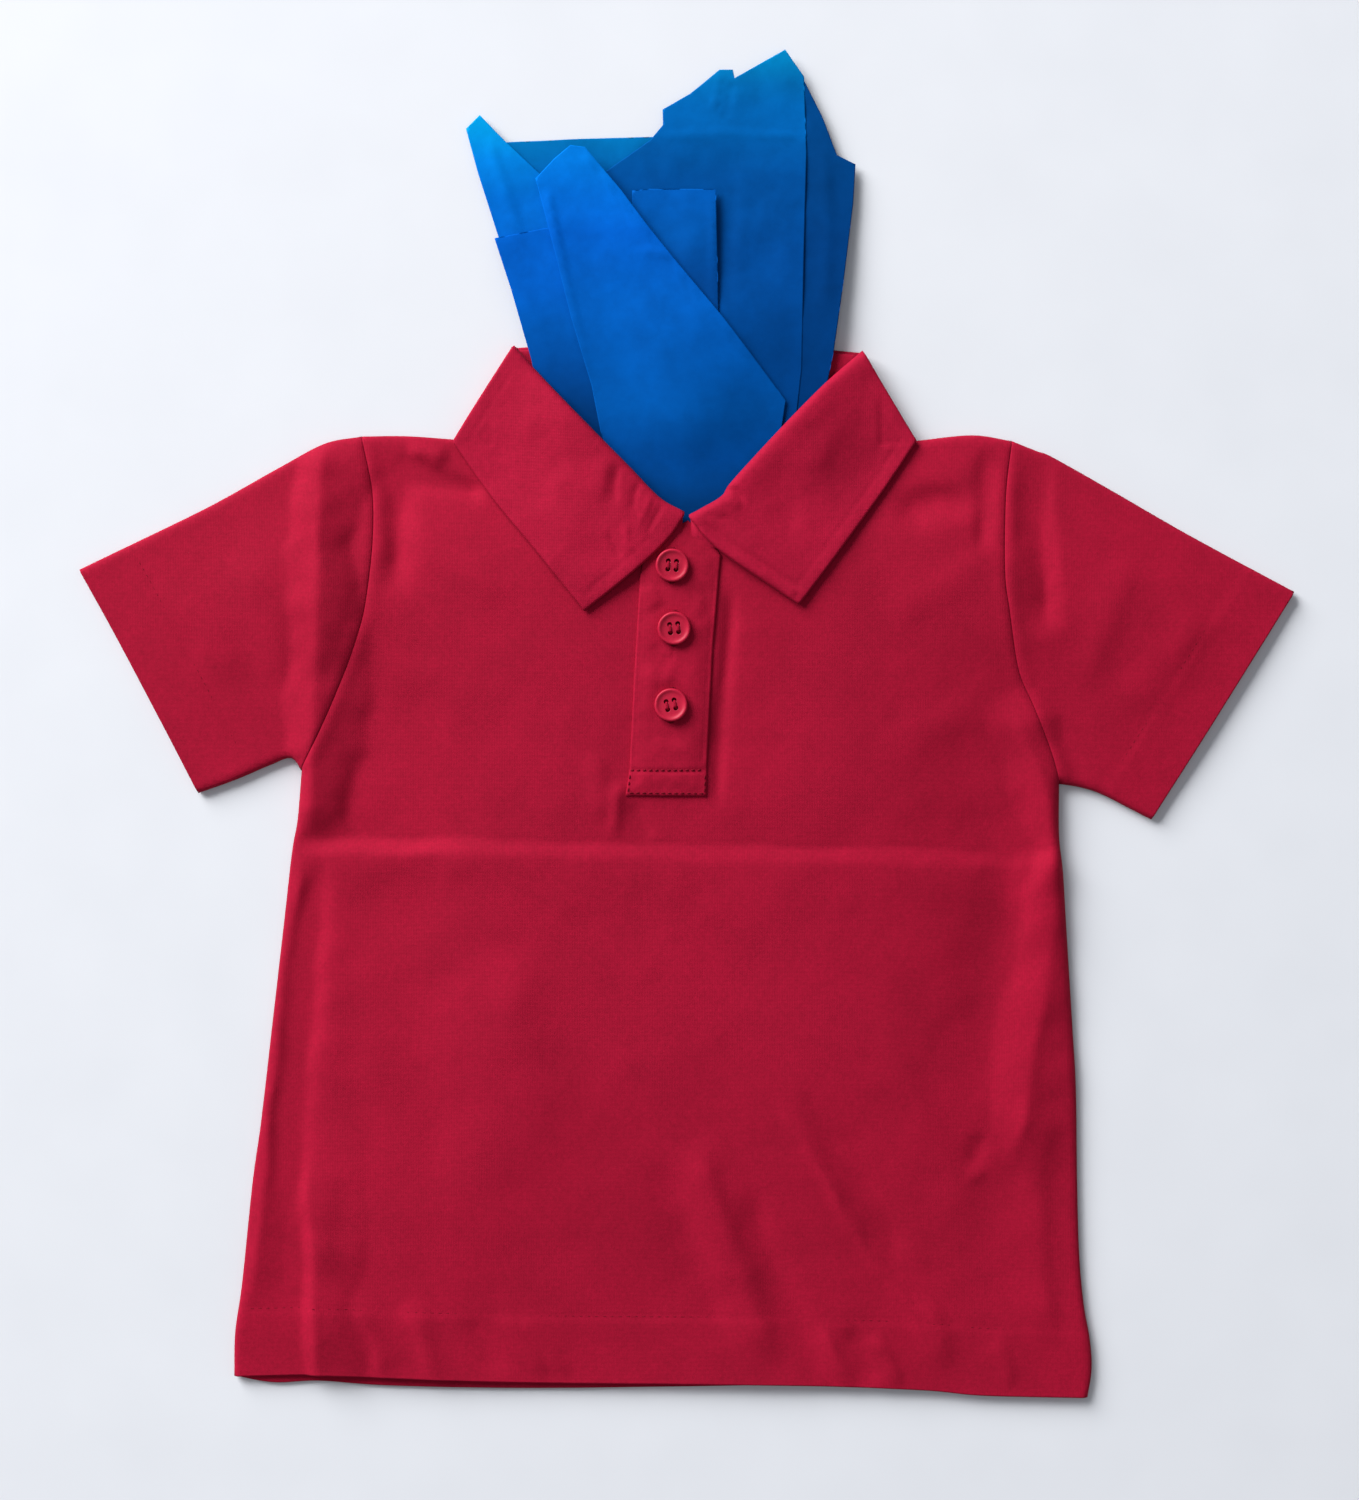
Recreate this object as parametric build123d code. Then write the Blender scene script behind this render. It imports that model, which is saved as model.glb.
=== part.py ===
from build123d import *
import os

# Child's short-sleeved polo shirt, laid flat on its back, with folded tissue paper standing in the neck.
# Units are millimetres. The table is z = 0, +Y runs from the hem to the collar, +Z points from the back
# of the shirt to its front, and +X is the wearer's left. The origin is under the middle of the whole.
# Cloth panels are slabs of even thickness: the back lies on the table, the front lies above the gap
# that the wearer's body fills, and seam allowances stand between them along the sewn edges.

# ---- driving dimensions: cloth and levels -------------------------------------------------------
CLOTH = 1.2             # one layer of jersey
COLLAR_CLOTH = 1.4      # two plies and interlining
TURNING = 0.6           # a turned-in hem, pressed flat
GAP = 5.6               # between the front and the back, laid flat
BACK = (0.0, CLOTH)
FRONT = (CLOTH + GAP, 2 * CLOTH + GAP)
INSIDE = (BACK[1], FRONT[0])
TOP = FRONT[1]
PLACKET_CLOTH = 1.0
PLACKET = (TOP, TOP + PLACKET_CLOTH)
LEAF = (PLACKET[1] + 0.3, PLACKET[1] + 0.3 + COLLAR_CLOTH)
FALL = (0.0, COLLAR_CLOTH)
STAND_BACK = (FALL[1], FALL[1] + COLLAR_CLOTH)

# ---- driving dimensions: seams, hems and folds --------------------------------------------------
SEAM = 3.0              # width of a side or shoulder seam allowance
ARMHOLE_SEAM = 4.5
ARMHOLE_PLY = 0.7
HEM_DEPTH = 23.0
SLEEVE_HEM_DEPTH = 21.0
STITCH = 0.6            # width of a row of stitches
STITCH_RISE = 0.3
FOLD_Y = -41.5          # the body folds to the back along this line
WALL = 2.2              # folded edge of a sleeve, seen from above
CLEAR = 0.35            # between parts that move against each other

# ---- driving dimensions: buttons and placket ----------------------------------------------------
BUTTON_R = 5.5
BUTTON_THICK = 2.6
BUTTON_DISH_R = 3.9
BUTTON_DISH_DEPTH = 0.9
BUTTON_HOLE_R = 0.8
BUTTON_HOLE_OFFSET = 1.25
BUTTON_LOW = PLACKET[1] + 0.6
BUTTON_CENTRES = ((-4.7, 52.5), (-4.0, 31.8), (-5.0, 6.5))
THREAD_R = 0.5
SHANK_R = 0.7
THREAD_PAD = 0.15       # thread crossing under the button
SLIT_LONG = 11.0
SLIT_WIDE = 1.8
SATIN = 1.2             # width of the satin stitches round a buttonhole
SATIN_RISE = 0.4
PLACKET_LEAN = 3.0      # degrees by which the placket leans as the shirt lies

# ---- outlines, as (x, y) ------------------------------------------------------------------------
NECK_R = (-64.5, 94.0)
NECK_L = (64.5, 93.5)
TIP_R = (-107.0, 96.5)
TIP_L = (107.0, 95.0)
ARMPIT_R = (-128.0, -14.2)
ARMPIT_L = (123.5, -19.5)
HEM_R = (-150.0, -217.5)
HEM_L = (133.3, -224.2)
CUFF_TOP_R = (-202.0, 51.8)
CUFF_LOW_R = (-162.0, -22.5)
CUFF_TOP_L = (202.0, 44.2)
CUFF_LOW_L = (152.3, -30.8)

SHOULDER_R = Spline(TIP_R, (-85.0, 95.3), NECK_R)
SHOULDER_L = Spline(NECK_L, (90.0, 96.4), TIP_L)
NECKLINE = Spline(NECK_R, (-43.0, 74.0), (-16.0, 58.5), (14.0, 59.5), (42.0, 74.0), NECK_L)
BACK_NECKLINE = ThreePointArc(NECK_R, (0.0, 88.0), NECK_L)
ARMHOLE_R = Spline(TIP_R, (-103.3, 68.5), (-104.7, 46.8), (-109.0, 29.0), (-117.5, 8.0), ARMPIT_R)
ARMHOLE_L = Spline(TIP_L, (105.0, 70.0), (105.2, 50.0), (107.5, 30.0), (113.8, 8.0), ARMPIT_L)
SIDE_R = Spline(ARMPIT_R, (-131.5, -58.0), (-141.3, -131.5), (-148.5, -195.0), HEM_R)
SIDE_L = Spline(ARMPIT_L, (127.0, -75.0), (130.3, -140.0), (133.0, -195.0), (134.8, -211.5), HEM_L)
HEM_LINE = Spline(HEM_R, (-68.7, -219.8), (54.7, -220.6), HEM_L)
SLEEVE_TOP_R = Spline(TIP_R, (-119.0, 93.8), (-138.0, 83.8), CUFF_TOP_R)
SLEEVE_TOP_L = Spline(TIP_L, (122.0, 88.4), (141.5, 77.2), CUFF_TOP_L)
UNDERARM_R = Polyline(CUFF_LOW_R, (-134.0, -11.6), ARMPIT_R)
UNDERARM_L = Spline(CUFF_LOW_L, (139.5, -23.8), ARMPIT_L)

LEAF_FRONT_R = (-0.8, 69.3)
LEAF_FRONT_L = (0.9, 69.0)
LEAF_REAR_R = (-57.2, 126.0)
LEAF_REAR_L = (58.7, 124.3)
LEAF_R = [
    LEAF_REAR_R, (-77.3, 94.2), (-33.7, 37.8), LEAF_FRONT_R, (-12.0, 78.8), (-28.7, 95.2), (-49.3, 117.2),
]
LEAF_L = [
    LEAF_REAR_L, (76.6, 94.4), (37.0, 39.8), LEAF_FRONT_L, (12.4, 76.2), (27.0, 93.3), (49.0, 114.6),
]
FALL_OUTLINE = [LEAF_REAR_R, LEAF_REAR_L, (75.0, 97.4), (-75.2, 97.4)]
STAND_BACK_OUTLINE = [(-54.5, 123.5), (55.5, 122.5), (63.0, 91.0), (-63.0, 91.0)]
PLACKET_OUTLINE = [(-18.7, -23.8), (8.0, -23.8), (11.8, 60.0), (0.4, 67.5), (-13.6, 58.0)]
SLOT_OUTLINE = [(-15.7, -17.0), (5.0, -17.0), (9.0, 66.0), (-11.5, 66.0)]
TAPE_OUTLINE = [(-60.0, 93.0), (60.0, 93.0), (57.0, 84.0), (-57.0, 84.0)]

# ---- tissue paper: each sheet is a folded pack of thin paper ------------------------------------
PAPER = 0.5
PAPER_STEP = 0.6
PAPER_LOW = STAND_BACK[1] + 0.9
TISSUE_BACK = [
    (-73.3, 198.4), (-68.6, 202.9), (-59.6, 193.5), (-12.0, 195.8), (-7.8, 200.1), (-7.8, 204.2),
    (11.1, 217.7), (15.6, 217.7), (15.9, 214.7), (33.0, 224.2), (39.2, 215.0), (50.5, 189.6),
    (56.3, 186.4), (49.9, 123.7), (36.0, 50.0), (30.0, -12.0), (-24.0, -16.0), (-38.0, 60.0), (-53.2, 127.0),
]
TISSUE_RIGHT = [
    (-63.7, 161.5), (-46.7, 165.2), (-30.0, 161.0), (-14.0, 60.0), (-18.0, 2.0), (-34.0, 4.0), (-52.7, 126.0),
]
TISSUE_LEFT = [
    (-10.0, 195.5), (40.9, 194.4), (38.2, 104.0), (30.0, 40.0), (26.0, 6.0), (-4.0, 8.0), (-2.0, 90.0),
]
TISSUE_MIDDLE = [
    (-16.0, 178.2), (10.5, 177.4), (11.4, 110.0), (12.0, 30.0), (-12.0, 28.0), (-18.0, 110.0),
]
TISSUE_FRONT = [
    (-49.8, 181.2), (-43.0, 187.4), (-35.7, 194.0), (-32.3, 191.3), (-4.2, 154.1),
    (33.0, 107.3), (31.5, 98.0), (22.0, 40.0), (-8.0, 34.0), (-22.0, 74.0), (-36.3, 128.2),
]


def slab(outline, levels):
    """A slab of the outline, from the first level to the second."""
    face = outline if isinstance(outline, Face) else Face(Wire.make_polygon([(*p, 0) for p in outline]))
    upward = Solid.extrude(face, (0, 0, levels[1] - levels[0]))
    return Pos(0, 0, levels[0]) * upward


def face_of(*edges):
    """The flat face that the edges enclose."""
    return make_face([e for edge in edges for e in edge.edges()]).faces()[0]


def strip(curve, across, levels):
    """A slab between a curve and the same curve moved across."""
    upward = (0, 0, levels[1] - levels[0])
    pieces = [Solid.extrude(Face.extrude(e, (*across, 0)), upward) for e in curve.edges()]
    joined = pieces[0] if len(pieces) == 1 else pieces[0].fuse(*pieces[1:])
    return Pos(0, 0, levels[0]) * joined


def block(low, high):
    """A box between two opposite corners."""
    size = [b - a for a, b in zip(low, high)]
    return Pos(*low) * Box(*size, align=(Align.MIN, Align.MIN, Align.MIN))


BIG = 400.0
ABOVE_FOLD = block((-BIG, FOLD_Y + CLEAR / 2, -BIG), (BIG, BIG, BIG))
BELOW_FOLD = block((-BIG, -BIG, -BIG), (BIG, FOLD_Y - CLEAR / 2, BIG))


def moved(curve, x, y):
    """The curve, moved in the plane."""
    return Pos(x, y, 0) * curve


def panels():
    """Front and back panels, each parted along the body's fold."""
    sides = (ARMHOLE_R, SIDE_R, HEM_LINE, SIDE_L, ARMHOLE_L)
    front = slab(face_of(SHOULDER_R, NECKLINE, SHOULDER_L, *sides), FRONT)
    back = slab(face_of(SHOULDER_R, BACK_NECKLINE, SHOULDER_L, *sides), BACK)
    slot = slab(SLOT_OUTLINE, FRONT)
    return {
        "front_panel_upper": (front - slot) & ABOVE_FOLD,
        "front_panel_lower": front & BELOW_FOLD,
        "back_panel_upper": back & ABOVE_FOLD,
        "back_panel_lower": back & BELOW_FOLD,
        "placket_under": slot & front,
    }


def side_seams():
    """Seam allowances that join front to back down each side, parted along the fold."""
    right = strip(SIDE_R, (SEAM, 0), INSIDE)
    left = strip(SIDE_L, (-SEAM, 0), INSIDE)
    upper = block((-BIG, FOLD_Y + CLEAR / 2, 0), (BIG, ARMPIT_L[1] - 4, BIG))
    lower = block((-BIG, HEM_R[1] + 1, 0), (BIG, FOLD_Y - CLEAR / 2, BIG))
    return {
        "side_seam_right_upper": right & upper,
        "side_seam_right_lower": right & lower,
        "side_seam_left_upper": left & upper,
        "side_seam_left_lower": left & lower,
    }


def shoulder_seams():
    """Taped shoulder seams, from near each armhole to near the neck."""
    reach = {"right": (-100.0, -68.0), "left": (68.0, 100.0)}
    made = {}
    for side, curve in (("right", SHOULDER_R), ("left", SHOULDER_L)):
        low, high = reach[side]
        whole = strip(curve, (0, -SEAM), INSIDE)
        made[f"shoulder_seam_{side}"] = whole & block((low, 0, 0), (high, BIG, BIG))
    return made


def armhole_seams():
    """The ring of seam allowance inside each armhole: a front and a back ply, joined at the armpit."""
    made = {}
    for side, curve, inward, armpit in (("right", ARMHOLE_R, 1, ARMPIT_R), ("left", ARMHOLE_L, -1, ARMPIT_L)):
        ring = strip(curve, (inward * ARMHOLE_SEAM, 0), INSIDE)
        keep = block((-BIG, armpit[1] + 1.0, 0), (BIG, 90.0, BIG))
        open_middle = block(
            (-BIG, armpit[1] + 4.0, INSIDE[0] + ARMHOLE_PLY), (BIG, BIG, INSIDE[1] - ARMHOLE_PLY)
        )
        made[f"armhole_seam_{side}"] = (ring & keep) - open_middle
    return made


def sleeve(top, cuff, underarm, armhole, outward):
    """A flattened sleeve: folded along its top, sewn underneath, open at the cuff and the armhole."""
    x, y = outward
    levels = (BACK[0], FRONT[1])
    joint = strip(armhole, (CLEAR if x > 0 else -CLEAR, 0), levels)
    outer = slab(face_of(top, Line(*cuff), underarm, armhole), levels) - joint
    cuff_top, cuff_low = cuff
    inner_top = moved(top, 0, -WALL)
    inner_low = moved(underarm, 0, WALL)
    reach = 12.0
    tip, armpit = inner_top @ 0, inner_low @ 1
    far_top, far_low = inner_top @ 1 + (reach * x, reach * y), inner_low @ 0 + (reach * x, reach * y)
    near_top, near_low = tip - (reach * x, 0), armpit - (reach * x, 0)
    hollow_face = face_of(
        inner_top, Line(inner_top @ 1, far_top), Line(far_top, far_low), Line(far_low, inner_low @ 0),
        inner_low, Line(armpit, near_low), Line(near_low, near_top), Line(near_top, tip),
    )
    return outer - slab(hollow_face, INSIDE), hollow_face


def sleeves():
    """Both sleeves, their turned-in hems and the stitches that hold the hems."""
    made = {}
    for side, top, cuff, underarm, armhole, outward in (
        ("right", SLEEVE_TOP_R, (CUFF_TOP_R, CUFF_LOW_R), UNDERARM_R, ARMHOLE_R, (-0.88, 0.47)),
        ("left", SLEEVE_TOP_L, (CUFF_TOP_L, CUFF_LOW_L), UNDERARM_L, ARMHOLE_L, (0.83, 0.55)),
    ):
        body, hollow_face = sleeve(top, cuff, underarm, armhole, outward)
        inward = (-outward[0] * SLEEVE_HEM_DEPTH, -outward[1] * SLEEVE_HEM_DEPTH)
        turning = strip(Line(*cuff), inward, INSIDE) & slab(hollow_face, INSIDE)
        between = block((-BIG, -BIG, INSIDE[0] + TURNING), (BIG, BIG, INSIDE[1] - TURNING))
        row = moved(Line(*cuff), *[0.93 * v for v in inward])
        across = (STITCH * outward[0], STITCH * outward[1])
        stitches = strip(row, across, (TOP, TOP + STITCH_RISE)) & slab(hollow_face, (TOP, TOP + STITCH_RISE))
        made[f"sleeve_{side}"] = body
        made[f"sleeve_hem_{side}"] = turning - between
        made[f"sleeve_hem_stitches_{side}"] = stitches
    return made


def hems():
    """The turned-in hem of the front and of the back, and the stitches that show on the front."""
    span = block((HEM_R[0] + 8, -BIG, 0), (HEM_L[0] - 4, BIG, BIG))
    front = strip(HEM_LINE, (0, HEM_DEPTH), (INSIDE[1] - TURNING, INSIDE[1]))
    back = strip(HEM_LINE, (0, HEM_DEPTH), (INSIDE[0], INSIDE[0] + TURNING))
    row = moved(HEM_LINE, 0, HEM_DEPTH - 1.5)
    stitches = strip(row, (0, STITCH), (TOP, TOP + STITCH_RISE))
    return {"hem_front": front & span, "hem_back": back & span, "hem_stitches": stitches & span}


def collar_leaf(outline):
    """One front leaf of the collar, with its leading edge eased."""
    leaf = slab(outline, LEAF)
    rim = leaf.edges().filter_by(Axis.Z, reverse=True).group_by(Axis.Z)[-1]
    return fillet(rim, COLLAR_CLOTH * 0.3)


def collar():
    """Leaves, the fall behind the neck and the stand that carries them."""
    fall = slab(FALL_OUTLINE, FALL)
    turn_r = strip(Line(LEAF_REAR_R, FALL_OUTLINE[3]), (COLLAR_CLOTH, 0), (FALL[1], LEAF[0] - 1))
    turn_l = strip(Line(LEAF_REAR_L, FALL_OUTLINE[2]), (-COLLAR_CLOTH, 0), (FALL[1], LEAF[0] - 1))
    back = slab(STAND_BACK_OUTLINE, STAND_BACK)
    front_r = face_of(NECKLINE, Polyline(NECK_L, (0.0, 69.0), (-54.5, 123.0), NECK_R))
    front_l = face_of(NECKLINE, Polyline(NECK_R, (0.0, 69.0), (55.5, 122.0), NECK_L))
    half_r = slab(front_r, FRONT) & block((-BIG, -BIG, 0), (-0.3, BIG, BIG))
    half_l = slab(front_l, FRONT) & block((0.3, -BIG, 0), (BIG, BIG, BIG))
    wall_r = strip(Line((-54.5, 123.0), (-62.5, 93.0)), (COLLAR_CLOTH, 0), (STAND_BACK[1], FRONT[0]))
    wall_l = strip(Line((55.5, 122.0), (62.5, 93.0)), (-COLLAR_CLOTH, 0), (STAND_BACK[1], FRONT[0]))
    return {
        "collar_leaf_right": collar_leaf(LEAF_R),
        "collar_leaf_left": collar_leaf(LEAF_L),
        "collar_fall": fall + turn_r + turn_l,
        "collar_stand": back + wall_r + wall_l + half_r + half_l,
        "neck_tape": slab(TAPE_OUTLINE, (STAND_BACK[1], STAND_BACK[1] + TURNING)),
    }


def slit_face(centre, extra=0.0):
    """The buttonhole's slit, or its satin border when made larger by extra all round."""
    slot = SlotOverall(SLIT_LONG + 2 * extra, SLIT_WIDE + 2 * extra, 90)
    shape = Pos(*centre, 0) * Rot(0, 0, -PLACKET_LEAN) * slot
    return shape.faces()[0]


def placket():
    """The buttonhole band with its slits, satin stitches and the box of stitches at its foot."""
    band = slab(PLACKET_OUTLINE, PLACKET)
    made = {}
    for number, centre in enumerate(BUTTON_CENTRES, 1):
        slit = slab(slit_face(centre), (PLACKET[0], PLACKET[1] + SATIN_RISE))
        border = slab(slit_face(centre, SATIN), (PLACKET[1], PLACKET[1] + SATIN_RISE))
        band = band - slit
        made[f"buttonhole_{number}"] = border - slit
    outline = [(-16.9, -22.3), (6.6, -22.3), (7.0, -15.0), (-16.4, -15.0)]
    inside = [(-16.3, -21.7), (6.0, -21.7), (6.4, -15.6), (-15.8, -15.6)]
    rise = (PLACKET[1], PLACKET[1] + STITCH_RISE)
    made["placket_top"] = band
    made["placket_box_stitches"] = slab(outline, rise) - slab(inside, rise)
    return made


def button(centre):
    """A four-hole button with a raised rim."""
    x, y = centre
    disc = Cylinder(BUTTON_R, BUTTON_THICK, align=(Align.CENTER, Align.CENTER, Align.MIN))
    disc = fillet(disc.edges().filter_by(GeomType.CIRCLE), 0.7)
    dish = Pos(0, 0, BUTTON_THICK - BUTTON_DISH_DEPTH) * Cone(
        BUTTON_DISH_R - 0.6, BUTTON_DISH_R, BUTTON_DISH_DEPTH, align=(Align.CENTER, Align.CENTER, Align.MIN)
    )
    holes = GridLocations(2 * BUTTON_HOLE_OFFSET, 2 * BUTTON_HOLE_OFFSET, 2, 2) * Cylinder(
        BUTTON_HOLE_R, 4 * BUTTON_THICK
    )
    return Pos(x, y, BUTTON_LOW) * (disc - dish - holes)


def button_thread(centre):
    """The thread: two bars over the button, four strands through its holes, and a shank below."""
    x, y = centre
    bar_low = BUTTON_THICK - BUTTON_DISH_DEPTH
    off = BUTTON_HOLE_OFFSET
    low = (Align.CENTER, Align.CENTER, Align.MIN)
    strand = Cylinder(THREAD_R, bar_low + THREAD_R, align=low)
    strands = [Pos(i * off, j * off, 0) * strand for i in (-1, 1) for j in (-1, 1)]
    bar = Box(2 * THREAD_R, 2 * off + 2 * THREAD_R, 2 * THREAD_R, align=low)
    bars = [Pos(i * off, 0, bar_low) * bar for i in (-1, 1)]
    shank_long = BUTTON_LOW - TOP
    crossing = 2 * (off + THREAD_R)
    whole = Pos(0, 0, -shank_long) * Cylinder(SHANK_R, shank_long, align=low)
    whole = whole + Pos(0, 0, -THREAD_PAD) * Box(crossing, crossing, THREAD_PAD, align=low)
    for piece in strands + bars:
        whole = whole + piece
    return Pos(x, y, BUTTON_LOW) * whole


def tissue():
    """Folded sheets of tissue, stacked in the neck from back to front."""
    stack = (
        ("tissue_back_sheet", TISSUE_BACK, 0),
        ("tissue_right_sheet", TISSUE_RIGHT, 1),
        ("tissue_left_sheet", TISSUE_LEFT, 1),
        ("tissue_middle_fold", TISSUE_MIDDLE, 2),
        ("tissue_front_fold", TISSUE_FRONT, 3),
    )
    made = {}
    for name, outline, step in stack:
        low = PAPER_LOW + step * PAPER_STEP
        made[name] = slab(outline, (low, low + PAPER))
    return made


NODES = {**panels(), **side_seams(), **shoulder_seams(), **armhole_seams(), **sleeves(), **hems()}
NODES.update(collar())
NODES.update(placket())
for number, centre in enumerate(BUTTON_CENTRES, 1):
    NODES[f"button_{number}"] = button(centre)
    NODES[f"button_thread_{number}"] = button_thread(centre)
NODES.update(tissue())

os.makedirs("parts", exist_ok=True)
for name, shape in NODES.items():
    export_step(shape, f"parts/{name}.step")
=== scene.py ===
import math

import bpy
import numpy as np
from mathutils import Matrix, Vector
from mathutils.geometry import delaunay_2d_cdt


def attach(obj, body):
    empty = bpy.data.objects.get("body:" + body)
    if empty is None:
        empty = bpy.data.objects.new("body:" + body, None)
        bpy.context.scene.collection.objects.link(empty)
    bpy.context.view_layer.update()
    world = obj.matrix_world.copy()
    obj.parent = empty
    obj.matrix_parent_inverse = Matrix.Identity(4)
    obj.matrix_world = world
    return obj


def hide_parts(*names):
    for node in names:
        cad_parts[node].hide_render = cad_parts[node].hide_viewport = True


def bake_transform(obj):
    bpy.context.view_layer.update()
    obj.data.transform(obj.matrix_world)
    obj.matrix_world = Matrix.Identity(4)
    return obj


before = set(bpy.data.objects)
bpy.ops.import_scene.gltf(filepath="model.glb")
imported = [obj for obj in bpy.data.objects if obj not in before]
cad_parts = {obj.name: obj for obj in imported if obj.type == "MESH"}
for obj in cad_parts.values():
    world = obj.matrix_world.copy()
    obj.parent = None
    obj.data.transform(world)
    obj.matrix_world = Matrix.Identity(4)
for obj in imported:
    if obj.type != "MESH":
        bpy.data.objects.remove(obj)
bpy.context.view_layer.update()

# A toddler's polo shirt laid flat with tissue paper standing in its neck.

MM = 0.001
RNG = np.random.default_rng(7)

# ---- outlines, as (x, y) ------------------------------------------------------------------------
OUTLINES = {
    "shoulder_r": [(-108, 96), (-93.2, 96.1), (-77.5, 95), (-64.5, 94)],
    "shoulder_l": [(64.5, 93.5), (76.8, 94.6), (95, 96.4), (108.2, 94.5)],
    "neck": [(-64.5, 94), (-43, 74), (-16, 58.5), (14, 59.5), (42, 74), (64.5, 93.5)],
    "back_neck": [(-64.5, 94), (-33, 89.6), (0, 88), (33, 89.4), (64.5, 93.5)],
    "armhole_r": [(-108, 96), (-104.3, 78), (-103.9, 60.3), (-106, 41.3), (-108.9, 29), (-114, 15),
                  (-121.6, -2.8), (-128, -15.2)],
    "armhole_l": [(108.2, 94.5), (106, 76), (105.4, 51), (106.9, 38), (110, 18.7), (115, 6.5),
                  (120.8, -8.2), (124, -19.6)],
    "side_r": [(-128, -15.2), (-129.4, -31.7), (-131.2, -42), (-133.8, -65), (-137.6, -98),
               (-141.5, -131.7), (-144.3, -151.7), (-147.8, -185.3), (-150.1, -202), (-150.4, -216.5)],
    "side_l": [(124, -19.6), (124, -36.7), (125.3, -48.9), (126.4, -67.3), (128.4, -100), (129.6, -121),
               (130, -151.7), (130.7, -176), (132.2, -192.7), (134.2, -204.3), (134.8, -214.2),
               (133.4, -223.6)],
    "hem_front": [(-150.4, -216.5), (-122, -215.9), (-98.5, -217), (-53.5, -218.4), (4.5, -219),
                  (45.8, -219.6), (79.2, -221), (98.7, -222.8), (133.4, -223.6)],
    "hem_back": [(-150.4, -216.5), (-137.2, -218.7), (-122, -218.2), (-98.5, -219.8), (-53.5, -220.6),
                 (4.5, -220), (45.8, -219.4), (79.2, -220.6), (98.7, -222.4), (133.4, -223.6)],
    "top_r": [(-108, 96), (-120.4, 93.6), (-135.5, 85.6), (-158.5, 72.8), (-184.3, 60.2), (-201.9, 51.7)],
    "top_l": [(108.2, 94.5), (116.4, 91.2), (122, 89), (142, 77.7), (167, 63.3), (202.2, 44.3)],
    "cuff_r": [(-201.9, 51.7), (-188.4, 27.4), (-175, 2), (-162.3, -22.6)],
    "cuff_l": [(202.2, 44.3), (187, 20), (171.6, -4.6), (154.6, -31.4)],
    "under_r": [(-162.3, -22.6), (-150, -18.2), (-138.7, -13.4), (-131.6, -11), (-128, -15.2)],
    "under_l": [(154.6, -31.4), (146.8, -27.4), (137.9, -22.9), (131.3, -20.8), (124, -19.6)],
}

CLOTH = 0.7
HEM = 1.2
HEM_ROW = 22.5
SLEEVE_HEM = 18.8
FOLD_Y = -41.5
BODY_ROLL = 17
SLEEVE_ROLL = (-2, 15)
LEAF_ROLL = (0.5, 6.5)
LEAF_HINGE_Z = 9.3
GRID = 1.5


# ---- geometry helpers ---------------------------------------------------------------------------
def spline(points, step=1.4):
    """Points every step along a smooth curve through the given ones."""
    p = np.array(points, float)
    if len(p) == 2:
        p = np.array([p[0], (p[0] + p[1]) / 2, p[1]])
    ends = np.vstack([2 * p[0] - p[1], p, 2 * p[-1] - p[-2]])
    fine = []
    for a, b, c, d in zip(ends, ends[1:], ends[2:], ends[3:]):
        t = np.linspace(0, 1, 24, endpoint=False)[:, None]
        square = (2 * a - 5 * b + 4 * c - d) * t**2
        cube = (3 * b - a - 3 * c + d) * t**3
        fine.append(0.5 * (2 * b + (c - a) * t + square + cube))
    return even(np.vstack(fine + [p[-1:]]), step)


def run_along(line):
    """The distance along a polyline to each of its points."""
    gaps = np.linalg.norm(np.diff(line, axis=0), axis=1)
    return np.concatenate([[0], np.cumsum(gaps)])


def spots(line, run, at):
    """The points at the given distances along a polyline."""
    return np.column_stack([np.interp(at, run, line[:, k]) for k in range(2)])


def even(line, step):
    """A polyline's points, evenly spaced."""
    run = run_along(line)
    return spots(line, run, np.linspace(0, run[-1], max(2, round(run[-1] / step) + 1)))


def loop_of(*runs):
    """A closed outline from runs of points; a run whose end meets the outline is turned round."""
    out = [tuple(q) for q in runs[0]]
    for run in runs[1:]:
        run = [tuple(q) for q in run]
        if math.dist(run[0], out[-1]) > math.dist(run[-1], out[-1]):
            run = run[::-1]
        out += run[1:]
    if math.dist(out[0], out[-1]) < 0.05:
        out = out[:-1]
    return np.array(out)


def straight(points, step=1.4):
    """Points every step along straight runs between the given ones."""
    runs = [even(np.array([a, b], float), step) for a, b in zip(points, points[1:])]
    return np.vstack([runs[0]] + [r[1:] for r in runs[1:]])


def polygon(corners, step):
    """Points every step round a straight-edged outline."""
    return straight(corners + corners[:1], step)[:-1]


def nearest(p, line):
    """For each point: its distance from the polyline, which side it is on, and how far along it lies."""
    best = np.full(len(p), 1e9)
    side = np.zeros(len(p))
    along = np.zeros(len(p))
    run = 0.0
    for a, b in zip(line, line[1:]):
        d = b - a
        length = float(np.hypot(*d)) or 1e-9
        rel = p - a
        t = np.clip(rel @ d / length**2, 0, 1)
        gap = np.hypot(*(rel - t[:, None] * d).T)
        closer = gap < best
        best[closer] = gap[closer]
        side[closer] = np.sign(d[0] * rel[:, 1] - d[1] * rel[:, 0])[closer]
        along[closer] = (run + t * length)[closer]
        run += length
    return best, side, along / max(run, 1e-9)


def smooth(t):
    """A soft step from 0 to 1."""
    t = np.clip(t, 0, 1)
    return t * t * (3 - 2 * t)


def rounded(d, radius):
    """The profile of a rounded edge: 0 at the edge and 1 from one radius in."""
    t = 1 - np.clip(d / radius, 0, 1)
    return np.sqrt(1 - t * t)


def bell(t):
    """The profile of a soft ridge."""
    return np.exp(-t * t)


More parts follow.
